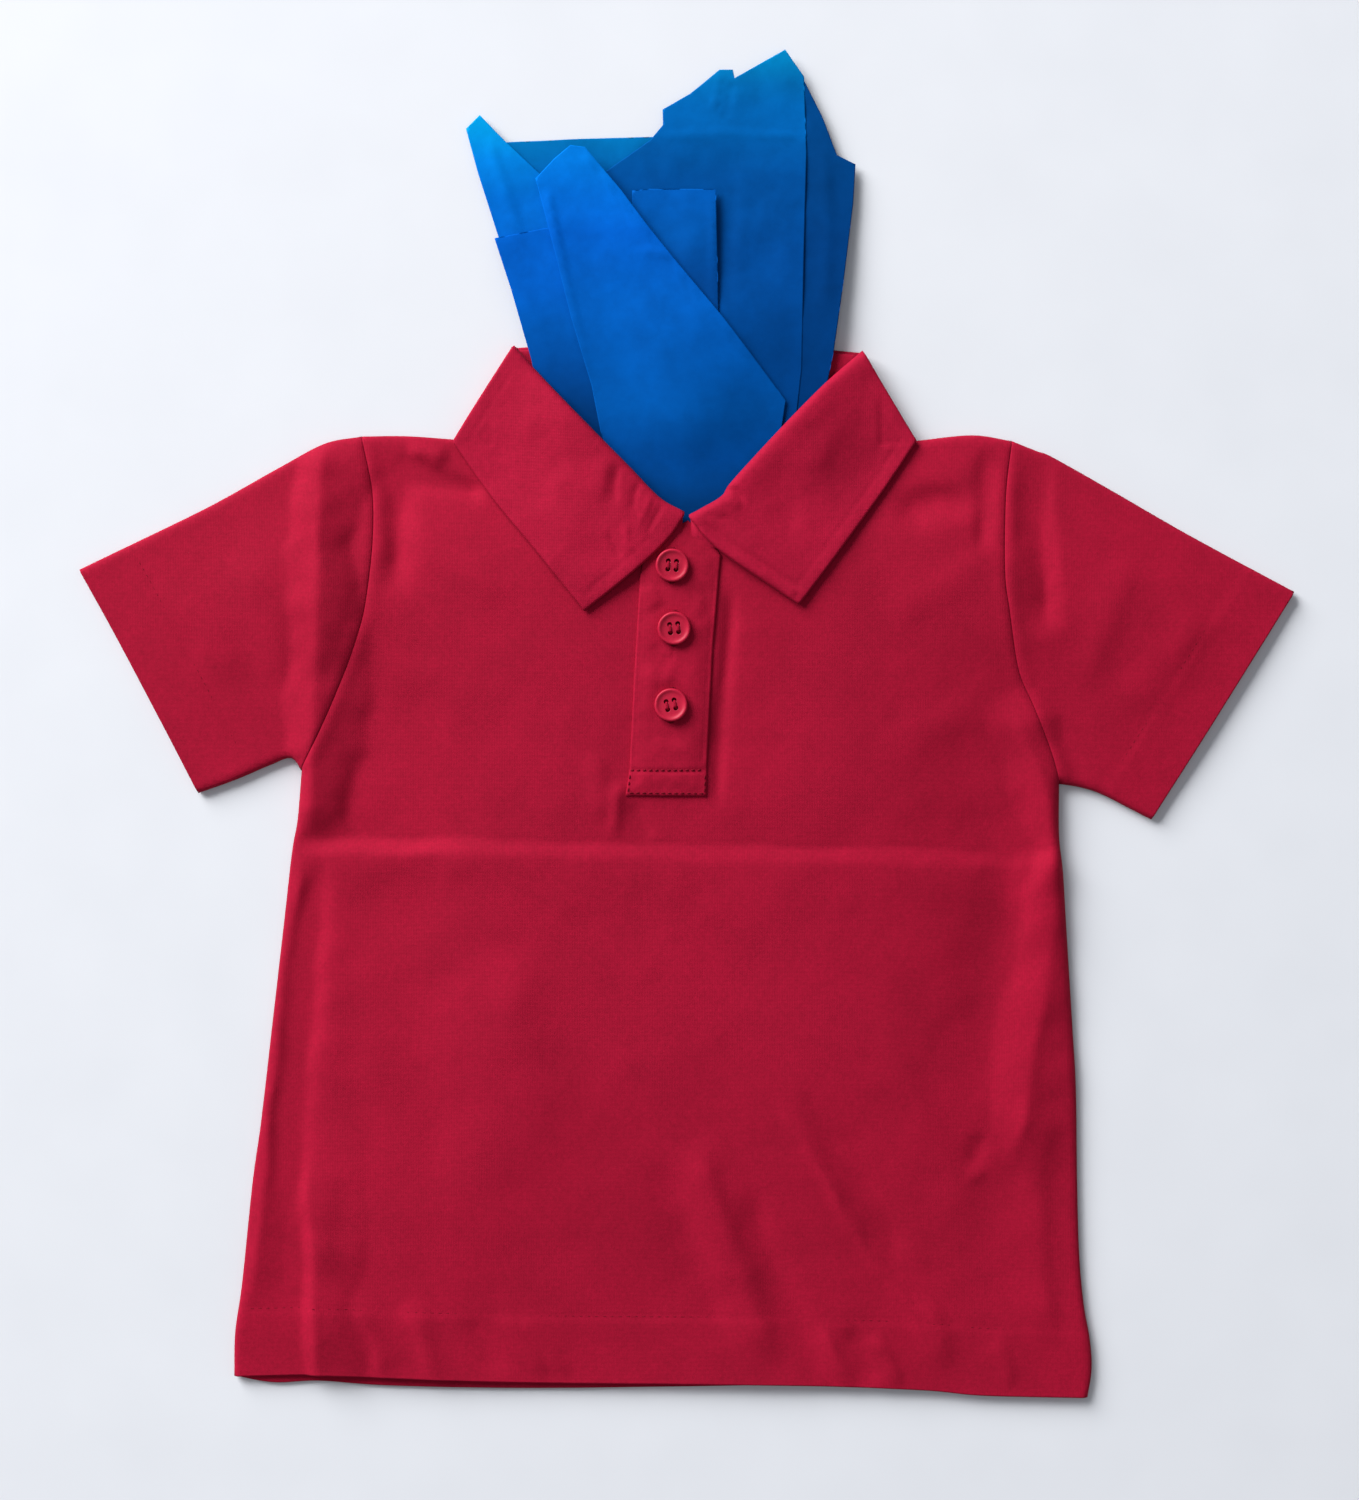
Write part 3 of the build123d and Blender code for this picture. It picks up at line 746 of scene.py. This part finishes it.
# ---- stitches -----------------------------------------------------------------------------------
def stitches(name, line, surface, body, nodes, pitch=2.6, long=2.0, thick=0.26, lean=0.0, rise=0.05):
    """A row of separate stitches along a line, lying on a surface."""
    run = run_along(line)
    at = np.arange(pitch / 2, run[-1] - pitch / 2, pitch)
    middle = spots(line, run, at)
    ahead = spots(line, run, at + 0.1)
    turn = np.arctan2(*(ahead - middle).T[::-1]) + math.radians(lean) + RNG.normal(0, 0.03, len(at))
    along = np.column_stack([np.cos(turn), np.sin(turn)])
    across = np.column_stack([-along[:, 1], along[:, 0]])
    stops = np.linspace(-1, 1, 6)
    ring = np.linspace(0, 2 * math.pi, 6, endpoint=False)
    verts, faces = [], []
    for k, stop in enumerate(stops):
        spine = middle + along * stop * long / 2
        z = surface(spine) + rise - 0.25 * stop**4
        size = thick * math.sqrt(max(1 - 0.85 * stop**4, 0.05))
        for angle in ring:
            xy = spine + across * size * math.cos(angle)
            verts.append(np.column_stack([xy, z + size * math.sin(angle)]))
    verts = np.stack(verts, axis=1)
    for k in range(len(at)):
        faces += rod_faces(k * len(stops) * len(ring), len(stops), len(ring))
    obj = add(name, verts.reshape(-1, 3), faces)
    dress(obj, THREAD_AND_PAINTED_SHADE, body)
    if nodes:
        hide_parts(*nodes)


def beside(line, gap):
    """The line moved sideways, to its left when the gap is above 0."""
    d = np.gradient(line, axis=0)
    d /= np.linalg.norm(d, axis=1)[:, None]
    return line + gap * np.column_stack([-d[:, 1], d[:, 0]])


def clipped(line, trim):
    """The line without a length at each end."""
    run = run_along(line)
    return line[(run > trim) & (run < run[-1] - trim)]


def hem_stitches():
    row = clipped(beside(LINES["hem_front"], HEM_ROW), 5)
    stitches("hem_stitching", row, front_z, "lower_body", ["hem_stitches"], rise=-0.1, thick=0.18)
    for side, body, gap in (("r", "sleeve_right", SLEEVE_HEM), ("l", "sleeve_left", -SLEEVE_HEM)):
        row = clipped(beside(LINES[f"cuff_{side}"], gap), 6)
        node = body.replace("sleeve_", "sleeve_hem_stitches_")
        stitches(f"{body}_stitching", row, front_z, body, [node], pitch=2.4, long=1.8, thick=0.18, rise=-0.1)


# ---- placket and buttons ------------------------------------------------------------------------
PLACKET = [(-13.6, 59), (-15.3, 49.3), (-17.2, 17), (-18.8, -14.7), (-20.1, -23.4), (6.6, -23.6),
           (6.8, -14.5), (8.7, 25), (11.4, 56), (6, 62.5), (0.5, 67.5), (-6, 64)]
PLACKET_THICK = 1.6
BUTTONS = ((-4.7, 52.5), (-4, 31.8), (-5, 6.5))
# How far each button is turned and tipped from straight, in degrees.
BUTTON_SPINS = (-4, 6, 12)
BUTTON_TILTS = ((1.5, 1), (2, -2), (-2, -3))
BUTTON_LOW = 9.1
BUTTON_R = 5.5
PLACKET_FOLDS = [
    ([(9.4, 50), (7.4, 20), (5.2, -14)], -0.2, 0.5, 0.5, 0.05),
    ([(-14.3, 46), (-16, 14), (-17.6, -14)], -0.12, 0.5, 0.5, 0.05),
    ([(-16, 45), (-12, 43), (-9, 38)], 0.5, 2, 3, 0.3),
    ([(-12, 27), (-8, 22), (-4, 21)], -0.35, 1.8, 2.2, 0.3),
    ([(-4.2, 26), (-4.5, 21.2)], -0.3, 0.4, 0.4, 0.25),
    ([(-14, 20), (-9, 15), (-3, 17)], 0.5, 2.4, 2.6, 0.3),
    ([(3, 47), (7, 42), (6, 33)], -0.4, 1.8, 2.2, 0.3),
    ([(-12, -4), (-4, -8), (4, -6)], 0.4, 2.4, 3.5, 0.3),
    ([(-19, -14.9), (-6, -15.3), (7, -15)], -0.35, 0.7, 0.7, 0.03),
]


def placket_z(p):
    """Height of the placket's upper band."""
    loop = closed(straight(PLACKET))
    d = nearest(p, loop)[0]
    z = front_z(p) + 0.95 + 0.55 * smooth(d / 6) - 0.5 * (1 - rounded(d, 0.7))
    z += 0.16 * unevenness(p, 11.0, 10) + 0.05 * unevenness(p, 4.0, 11)
    z += creases(p, PLACKET_FOLDS)
    for x, y in BUTTONS:
        z -= 0.35 * np.exp(-(((p[:, 0] - x) ** 2 + (p[:, 1] - y) ** 2) / 26.0))
    return z


def placket_under(p):
    return placket_z(p) - PLACKET_THICK


def placket():
    """The upper band with its three slits, the stitches of its foot and of its buttonholes."""
    loop = polygon(PLACKET, 0.9)
    slits = [slit(x, y) for x, y in BUTTONS]
    band = slab("placket_band", loop, placket_z, placket_under, 0.8, slits, (0.3, 0.7))
    dress(band, JERSEY, "torso")
    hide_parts("placket_top")
    foot = straight([(-18.9, -15), (6.7, -14.9)])
    stitches("placket_foot_stitching", foot, placket_z, "torso", ["placket_box_stitches"],
             pitch=2.0, long=1.4, thick=0.34, lean=12, rise=0.05)
    sides = straight([(-18.6, -16.2), (-19.3, -22.4), (5.9, -22.6), (6.1, -16)])
    stitches("placket_box_stitching", sides, placket_z, "torso", [],
             pitch=2.1, long=1.6, thick=0.28, rise=0.0)
    for number, (x, y) in enumerate(BUTTONS, 1):
        edge = closed(slit(x, y, 0.55))
        stitches(f"buttonhole_satin_{number}", edge, placket_z, "torso", [f"buttonhole_{number}"],
                 pitch=0.42, long=1.1, thick=0.2, lean=90, rise=0.04)


def slit(x, y, extra=0.0):
    """The outline of a buttonhole's slit: a narrow slot, leaning with the placket."""
    half, r = 4.6, 0.6 + extra
    turn = np.linspace(0, math.pi, 7)
    top = np.column_stack([r * np.cos(turn), half + r * np.sin(turn)])
    outline = np.vstack([top, -top])
    lean = math.radians(-3)
    spin = np.array([[math.cos(lean), -math.sin(lean)], [math.sin(lean), math.cos(lean)]])
    return even(closed(outline @ spin.T), 0.7)[:-1] + np.array([x, y])


# The height of a button's face at each distance from its middle.
BUTTON_PROFILE = [(0, 1.7), (3.3, 1.7), (4.1, 1.85), (4.5, 2.1), (4.8, 2.25), (5.1, 2.25), (5.3, 2.1),
                  (5.45, 1.75), (5.5, 1.35)]


def circle(x, y, r, count):
    turn = np.linspace(0, 2 * math.pi, count, endpoint=False)
    return np.column_stack([x + r * np.cos(turn), y + r * np.sin(turn)])


def button(number, x, y, spin, tilt):
    """A four-hole button with a raised rim, and the thread through its holes."""
    def top(p):
        r = np.hypot(p[:, 0], p[:, 1])
        return np.interp(r, *zip(*BUTTON_PROFILE))

    def bottom(p):
        r = np.hypot(p[:, 0], p[:, 1])
        return 0.9 * (1 - rounded(BUTTON_R - r, 0.9))

    off = 1.35
    holes = [circle(i * off, j * off, 0.8, 18) for i in (-1, 1) for j in (-1, 1)]
    disc = slab(f"button_{number}_disc", circle(0, 0, BUTTON_R, 72), top, bottom, 0.42, holes, (0.15, 0.35))
    dress(disc, RESIN)
    thread = tube(f"button_{number}_sewing", button_thread(off), 0.27)
    dress(thread, BUTTON_THREAD)
    for obj in (disc, thread):
        obj.location = (x * MM, y * MM, BUTTON_LOW * MM)
        obj.rotation_euler = (math.radians(tilt[0]), math.radians(tilt[1]), math.radians(spin))
        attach(obj, f"button_{number}")
    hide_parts(f"button_{number}")
    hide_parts(f"button_thread_{number}")


def button_thread(off):
    """The thread's paths: two loops, each up through one hole and down through the next."""
    paths = []
    for i in (-1, 1):
        for shift in (-0.15, 0.15):
            x = i * off + shift
            paths.append([
                (x * 0.3, -0.3, -0.7), (x * 0.8, -off, 0.1), (x, -off * 0.85, 1.2),
                (x, -off * 0.6, 1.84), (x, 0, 1.9), (x, off * 0.6, 1.84),
                (x, off * 0.85, 1.2), (x * 0.8, off, 0.1), (x * 0.3, 0.3, -0.7),
            ])
    return paths


def tube(name, paths, radius, sides=6):
    """Closed round strands along smooth paths, as one mesh."""
    verts, faces = [], []
    for path in paths:
        p = np.array(path, float)
        t = np.arange(len(p))
        fine = np.linspace(0, len(p) - 1, 5 * len(p))
        spine = np.column_stack([np.interp(fine, t, p[:, k]) for k in range(3)])
        for _ in range(3):
            spine[1:-1] = (spine[:-2] + 2 * spine[1:-1] + spine[2:]) / 4
        ahead = np.gradient(spine, axis=0)
        ahead /= np.linalg.norm(ahead, axis=1)[:, None]
        # Two directions across the strand, worked out from one that it never follows.
        side = np.cross(ahead, (1.0, 0.02, 0.03))
        side /= np.linalg.norm(side, axis=1)[:, None]
        other = np.cross(ahead, side)
        faces += rod_faces(len(verts), len(spine), sides)
        for c, u, v in zip(spine, side, other):
            for k in range(sides):
                a = 2 * math.pi * k / sides
                verts.append(c + radius * (math.cos(a) * u + math.sin(a) * v))
    return add(name, verts, faces)


# ---- collar -------------------------------------------------------------------------------------
FOLD_R = [(-57.2, 126), (-50.6, 118.4), (-41.4, 108.4), (-29.2, 95.8), (-18.9, 85.4), (-8.7, 75),
          (-0.7, 70.4)]
FOLD_L = [(58.3, 124.2), (47.9, 115.1), (38.4, 105.6), (26.8, 93.4), (14.6, 80), (11.6, 75.6), (5, 71.6),
          (0.9, 69.4)]
FRONT_EDGE_R = [(-0.7, 70.4), (-1.2, 68.2), (-6, 61.2), (-16.9, 50.9), (-33.6, 37.5)]
FRONT_EDGE_L = [(0.9, 69.4), (1.6, 67.4), (10.3, 57.8), (26.8, 46.4), (37.2, 39.6)]
OUTER_EDGE_R = [(-33.6, 37.5), (-48.2, 55.6), (-63.8, 74.6), (-77.6, 94)]
OUTER_EDGE_L = [(37.2, 39.6), (48.5, 54.6), (65, 77.2), (76.4, 94.2)]
SIDE_EDGE_R = [(-77.6, 94), (-70.5, 105.5), (-57.2, 126)]
SIDE_EDGE_L = [(76.4, 94.2), (69.5, 105.5), (58.3, 124.2)]
NECK_RUN = {"r": OUTLINES["neck"][:3], "l": OUTLINES["neck"][:2:-1]}
LEAF_THICK = 1.3
LEAF_TOP = 10.4
LEAF_SIDE = 6.0
LEAF_FOLDS = {
    "r": [
        ([(-21.5, 87), (-23.4, 80), (-23.2, 71)], -0.55, 0.9, 2.2, 0.35),
        ([(-27, 90), (-27.4, 80), (-30.6, 71)], 0.4, 1.8, 3, 0.35),
        ([(-15, 81), (-17.2, 74), (-16.6, 69)], -0.5, 0.9, 1.6, 0.35),
        ([(-11, 77), (-13, 71), (-16.4, 64)], 0.35, 0.8, 1.6, 0.35),
        ([(-7, 73.6), (-9.6, 69), (-13.8, 61)], -0.4, 0.8, 1.3, 0.35),
        ([(-26.4, 64.5), (-22.8, 58), (-20.6, 53)], -0.45, 1, 1.8, 0.35),
        ([(-19, 68), (-19.6, 60), (-16.6, 55.5)], 0.3, 1.2, 2, 0.35),
        ([(-52, 102), (-44, 92), (-38, 80)], -0.5, 3, 5, 0.35),
        ([(-45, 84), (-40, 70), (-30, 58)], 0.4, 4, 5, 0.35),
        ([(-38.6, 45.5), (-34.6, 42.6), (-30, 44.6)], -0.16, 0.5, 0.5, 0.1),
    ],
    "l": [
        ([(10, 75.6), (13.5, 77.6), (17.5, 76.4), (19, 72)], -0.6, 0.9, 1.4, 0.35),
        ([(12.2, 72.4), (15.6, 74), (17.6, 70)], 0.4, 0.9, 1.4, 0.35),
        ([(5, 70.6), (9.4, 68.4), (16, 68)], -0.3, 0.9, 1.3, 0.35),
        ([(52, 104), (46, 92), (40, 80)], 0.35, 4, 5, 0.35),
        ([(28, 84), (34, 72), (32, 58)], -0.4, 4, 5, 0.35),
        ([(3.6, 64.2), (13.4, 56.7), (29, 46.8), (36, 42.6)], 0.55, 1.5, 1.1, 0.04),
        ([(5.6, 66.8), (15, 59.4), (30.6, 49.4), (38.2, 44.8)], -0.3, 0.8, 0.8, 0.04),
    ],
}


def fold_height(to_side):
    """Height of a leaf's top along its fold: the collar is flattest at its sides, where it turns under."""
    return LEAF_SIDE + (LEAF_TOP - LEAF_SIDE) * smooth(to_side / 34)


def leaf_z(side, loop, fold, side_edge):
    """The heights of a collar leaf's upper and lower faces: it falls from its fold on to the shirt."""
    border = closed(loop)

    def z(p):
        to_fold = nearest(p, fold)[0]
        to_side = nearest(p, side_edge)[0]
        d = nearest(p, border)[0]
        on_shirt = np.column_stack([p[:, 0], np.minimum(p[:, 1], 93.0)])
        draped = lie(on_shirt) + LEAF_THICK + 0.8 + 0.7 * (1 - smooth((np.abs(p[:, 0]) - 16) / 14))
        share = smooth(to_fold / 36)
        field = draped * share + fold_height(to_side) * (1 - share) + 0.35 * bell((to_fold - 4) / 4)
        field += creases(p, LEAF_FOLDS[side])
        field += 0.25 * unevenness(p, 20.0, 12) + 0.07 * unevenness(p, 6.0, 13)
        field -= 0.14 * bell((d - 4.6) / 0.55) * smooth((to_fold - 5) / 4)
        field -= 1.9 * (1 - rounded(to_fold, 2.4))
        return field - 0.6 * (1 - rounded(d, 0.8))

    def under(p):
        to_fold = nearest(p, fold)[0]
        thick = LEAF_THICK * (0.45 + 0.55 * rounded(nearest(p, border)[0], 0.9))
        return z(p) - thick + 0.3 * (1 - smooth(to_fold / 2))

    return z, under


def collar_leaf(side, body, fold, front_edge, outer_edge, side_edge, across):
    """One leaf, turned down over its fold line."""
    fold, front, outer, edge = [spline(points, 0.9) for points in (fold, front_edge, outer_edge, side_edge)]
    loop = loop_of(fold, front, outer, edge)
    top, under = leaf_z(side, loop, fold, edge)
    leaf = slab(f"{body}_leaf", loop, top, under, 1.0, (), (0.3, 0.7))
    dress(leaf, COLLAR_KNIT)
    middle = fold[len(fold) // 2]
    out = np.array(across)
    start, end = [(*((middle + reach * out) * MM), LEAF_HINGE_Z * MM) for reach in LEAF_ROLL]
    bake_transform(leaf)
    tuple(start)
    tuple(end)
    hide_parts(body.replace("collar_", "collar_leaf_"))
    side_turn(side, edge, np.array([across[0], -across[1]]), under)
    stand_front(side, fold, under)


def side_turn(side, edge, outward, leaf_under):
    """The collar's side, where the cloth turns from the leaf down to the fall behind the neck."""
    line = even(edge, 1.5)
    low = 0.8
    high = leaf_under(line - 1.6 * outward) - 0.35
    rows = np.linspace(-math.pi / 2, math.pi / 2, 14)
    verts = []
    for xy, top in zip(line, high):
        for t in rows:
            spot = xy + outward * (1.2 * math.cos(t) - 2.0)
            verts.append((*spot, low + (top - low) / 2 * (1 + math.sin(t))))
    n = len(rows)
    faces = [(k * n + j, k * n + j + 1, (k + 1) * n + j + 1, (k + 1) * n + j)
             for k in range(len(line) - 1) for j in range(n - 1)]
    obj = add(f"collar_side_{side}", verts, faces)
    thick = obj.modifiers.new("cloth", "SOLIDIFY")
    thick.thickness = 0.9 * MM
    thick.offset = 0
    dress(obj, COLLAR_KNIT, "torso")


def plain_sheet(name, loop, low, thick, node, material):
    """A sheet of the torso that lies nearly flat at a height, with soft unevenness and rounded edges."""
    border = closed(loop)

    def under(p):
        return low + 0.15 * (1 + unevenness(p, 22.0, round(100 * low))) / 2

    def top(p):
        return under(p) + thick * (0.35 + 0.65 * rounded(nearest(p, border)[0], 0.8))

    obj = slab(name, loop, top, under, 1.8, (), (0.4, 0.9))
    dress(obj, material, "torso")
    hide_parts(node)


def collar():
    collar_leaf("r", "collar_right", FOLD_R, FRONT_EDGE_R, OUTER_EDGE_R, SIDE_EDGE_R, (-0.694, -0.72))
    collar_leaf("l", "collar_left", FOLD_L, FRONT_EDGE_L, OUTER_EDGE_L, SIDE_EDGE_L, (0.69, -0.722))
    fall = loop_of(spline([(-56.8, 125.6), (-28, 127.4), (0, 128), (29, 126.6), (57.8, 124)]),
                   spline([(57.8, 124), (69.2, 105.3), (76, 94.2)]),
                   spline([(76, 94.2), (40, 92), (0, 91.2), (-40, 91.8), (-77, 93.8)]),
                   spline([(-77, 93.8), (-70, 105.2), (-56.8, 125.6)]))
    plain_sheet("collar_fall_cloth", fall, 0.02, 1.3, "collar_fall", COLLAR_KNIT)
    back = loop_of(spline([(-55.6, 124.6), (-28, 126.4), (0, 127), (29, 125.6), (56.6, 123)]),
                   straight([(56.6, 123), (63, 92)]),
                   spline([(63, 92), (32, 88.2), (0, 87), (-32, 88.4), (-63, 92)]),
                   straight([(-63, 92), (-55.6, 124.6)]))
    plain_sheet("collar_stand_back", back, 1.65, 1.0, "collar_stand", COLLAR_KNIT)
    tape = loop_of(spline([(-60, 94), (0, 89.6), (60, 93.6)]), straight([(60, 93.6), (58, 86)]),
                   spline([(58, 86), (0, 82), (-58, 86.2)]), straight([(-58, 86.2), (-60, 94)]))
    plain_sheet("neck_tape_cloth", tape, 2.75, 0.55, "neck_tape", JERSEY)


def stand_front(side, fold, leaf_under):
    """The collar's stand inside each front: between the neckline and the fold, under the leaf."""
    sign = -1 if side == "r" else 1
    neck = spline(NECK_RUN[side] + [(sign * 0.5, 57.0)])
    loop = loop_of(beside(even(fold, 1.2), sign * 0.9), neck)
    border = closed(loop)

    def top(p):
        joined = 1 - smooth((nearest(p, fold)[0] - 0.9) / 2.0)
        edge = 0.4 * (1 - rounded(nearest(p, border)[0], 0.8)) * (1 - joined)
        return leaf_under(p) - 0.35 - edge + 0.75 * joined

    obj = slab(f"collar_stand_front_{side}", loop, top, lambda p: top(p) - 0.8, 1.6, (), (0.4, 0.9))
    dress(obj, COLLAR_KNIT, "torso")
    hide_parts("collar_stand")


# ---- tissue paper -------------------------------------------------------------------------------
PAPER = 0.22
# The places of the middle and the front sheet, counted from the back.
MIDDLE_PLACE = 3
FRONT_PLACE = 4
# The line along which the front sheet is folded.
FRONT_FOLD = [(-34, 190.5), (-4, 154), (33, 107)]
# Each sheet: its outline, its place from the back, its CAD node, its creases and its tones, painted shade
# included.
SHEETS = {
    "tissue_back": (
        [(-61, 193.9), (-34.7, 195.1), (-12, 195.7), (14, 196.3), (40, 194), (47, 189), (47, 123), (36, 50),
         (30, -10), (-24, -14), (-38, 60), (-51.5, 127)],
        0, "tissue_back_sheet", [], "back"),
    "tissue_back_left": (
        [(-73.3, 198.2), (-68.7, 202.8), (-63.5, 197.4), (-59.8, 193.6), (-49.4, 183.8), (-36, 172),
         (-24, 120), (-20, 60), (-34, 60), (-48, 118), (-62.4, 162), (-69.2, 183.2)],
        1, "tissue_back_sheet", [([(-66, 196), (-60, 178), (-54, 160)], 0.5, 1.2, 3, 0.2)], "back_left"),
    "tissue_turned_edge": (
        [(36, 206), (39.1, 214), (45.3, 201.8), (50, 189.4), (56.2, 186.3), (55.4, 173.1), (52, 146),
         (48.8, 123.6), (40, 80), (31, 40), (27, 60), (33, 120)],
        1.6, "tissue_left_sheet",
        [([(44.4, 196), (47, 170), (45.5, 130)], 0.35, 2, 3, 0.2)], "turned"),
    "tissue_right": (
        [(-63.7, 161.5), (-47, 164.9), (-30, 166), (-18, 120), (-14, 60), (-18, 4), (-32, 6), (-40, 62),
         (-51.4, 121), (-58, 144)],
        2, "tissue_right_sheet", [([(-56, 150), (-48, 128), (-42, 108)], 0.4, 2.5, 4, 0.25)], "right"),
    "tissue_left": (
        [(-28, 183), (-12, 194.2), (-7.8, 199.2), (-7.9, 204.3), (1.3, 209.7), (11, 217.6), (15.4, 217.6),
         (16, 214.8), (32.8, 224.2), (39.1, 215.3), (39.9, 190), (38.8, 150), (38.2, 118), (33, 70),
         (28, 6), (-6, 8), (-14, 90), (-33, 176)],
        2, "tissue_left_sheet",
        [([(11.4, 217), (10.4, 210), (8.4, 203)], 0.4, 0.4, 0.9, 0.2),
         ([(15.6, 214.6), (14.6, 208), (12.4, 200)], -0.3, 0.5, 1, 0.2),
         ([(-10, 195.6), (14, 196.6), (39, 195.4)], 0.25, 0.8, 1.2, 0.1),
         ([(20, 192), (17, 160), (18, 118)], 0.25, 3.5, 2, 0.3),
         ([(33.5, 190), (32.5, 160), (31.5, 120)], 0.12, 3, 3, 0.3)], "left"),
    "tissue_middle": (
        [(-18, 177.2), (-12.2, 177.7), (9.8, 177.5), (10.4, 150), (11, 110), (11.5, 32), (-11.5, 30),
         (-17.5, 110)],
        MIDDLE_PLACE, "tissue_middle_fold",
        [([(8.8, 176.6), (9.3, 150), (9.6, 112)], 0.4, 0.7, 1.1, 0.06)], "middle"),
    "tissue_front": (
        [(-50, 181), (-43.8, 187.4), (-38.4, 191.8), (-33.6, 191.2), (-27.6, 184), (-21.2, 176.4),
         (-12.6, 164.8), (-4.2, 154.2), (12.6, 133.8), (32.9, 107.3), (31.6, 98.4), (21.5, 42), (-7.5, 36),
         (-21.5, 76), (-28.4, 97), (-31.4, 112.2), (-38.2, 134.8), (-43.8, 157.3)],
        FRONT_PLACE, "tissue_front_fold",
        [([(-34, 189.6), (-5.6, 152.6), (31.4, 107)], 0.6, 0.5, 1.6, 0.03),
         ([(-46, 178), (-40, 150), (-30, 108)], 0.7, 0.8, 2.6, 0.06),
         ([(-18, 157), (-6, 155.6), (-3, 154)], 0.3, 0.8, 1.4, 0.3),
         ([(-36, 118), (-18, 112), (2, 116)], -0.5, 3, 4, 0.3),
         ([(-22, 140), (-10, 128), (-4, 110)], 0.5, 4, 5, 0.3),
         ([(2, 96), (14, 101), (30, 97.6)], 0.5, 1.6, 3, 0.25)], "front"),
}


def tissue_height(order, folds):
    """Where a sheet lies: stacked flat in the neck, then fanning apart and sinking to the table above it."""
    def under(p):
        x, y = p.T
        out = smooth((y - 96) / 75)
        z = 3.55 + 0.32 * order + out * 0.62 * order - 2.5 * smooth((y - 128) / 48)
        bundle = bell(np.hypot((y - 112) / 30, (x - 2) / (9 + 0.32 * np.abs(y - 66))))
        z += 4.0 * bundle * smooth((y - 72) / 30)
        if order == FRONT_PLACE:
            z += out * 1.4 * bell(nearest(p, np.array(FRONT_FOLD))[0] / 14)
        if order == MIDDLE_PLACE:
            z += out * 0.9 * smooth((y - 120) / 50) * smooth((x + 12) / 16)
        seed = round(20 + 10 * order)
        z += (0.32 * unevenness(p, 26.0, seed) + 0.09 * unevenness(p, 7.0, seed + 1)) * (0.15 + out)
        z += creases(p, folds) * out
        return np.maximum(z, 0.3 + 0.1 * order)

    return under


def tissue():
    """All the sheets, each resting on the one before."""
    for name, (outline, order, node, folds, tones_and_shade) in SHEETS.items():
        loop = polygon(outline, 1.3)
        under = tissue_height(order, folds)
        obj = slab(name, loop, lambda p, under=under: under(p) + PAPER, under, 1.5, (), (0.35,))
        dress(obj, tissue_paper(f"blue_{name}", TISSUE_TONES_AND_SHADE[tones_and_shade]), "tissue")
        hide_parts(node)


hem_stitches()
placket()
for number, ((x, y), spin, tilt) in enumerate(zip(BUTTONS, BUTTON_SPINS, BUTTON_TILTS), 1):
    button(number, x, y, spin, tilt)
collar()
tissue()

# ---- floor, light and camera --------------------------------------------------------------------
CAMERA_HIGH = 0.8
SENSOR = 36.0
VIEW_HIGH = 0.5
VIEW_MIDDLE = (-0.0023, -0.0083)


def floor():
    half = 3000.0
    corners = [(-half, -half, 0), (half, -half, 0), (half, half, 0), (-half, half, 0)]
    obj = add("table", corners, [(0, 1, 2, 3)])
    obj.data.materials.append(floor_material())


def area_light(name, place, aim, size, power, colour):
    data = bpy.data.lights.new(name, "AREA")
    data.shape = "RECTANGLE"
    data.size, data.size_y = size
    data.energy = power
    data.color = colour
    obj = bpy.data.objects.new(name, data)
    obj.location = place
    obj.rotation_euler = (Vector(aim) - Vector(place)).to_track_quat("-Z", "Y").to_euler()
    bpy.context.scene.collection.objects.link(obj)


def light_and_camera():
    bpy.context.scene.view_settings.view_transform = "Standard"
    area_light("window", (-2.86, 3.0, 2.0), (0, 0, 0), (3.5, 2.6), 528, (1.0, 0.995, 1.0))
    area_light("fill", (0.2, -0.4, 2.2), (0, 0, 0), (2.4, 2.4), 5, (1.0, 0.98, 0.98))
    world = bpy.data.worlds.new("room")
    world.use_nodes = True
    world.node_tree.nodes["Background"].inputs["Color"].default_value = (0.85, 0.88, 0.95, 1)
    world.node_tree.nodes["Background"].inputs["Strength"].default_value = 0.28
    bpy.context.scene.world = world
    data = bpy.data.cameras.new("camera")
    data.sensor_width = SENSOR
    data.lens = SENSOR * CAMERA_HIGH / VIEW_HIGH
    camera = bpy.data.objects.new("camera", data)
    camera.location = (*VIEW_MIDDLE, CAMERA_HIGH)
    bpy.context.scene.collection.objects.link(camera)
    bpy.context.scene.camera = camera


floor()
light_and_camera()
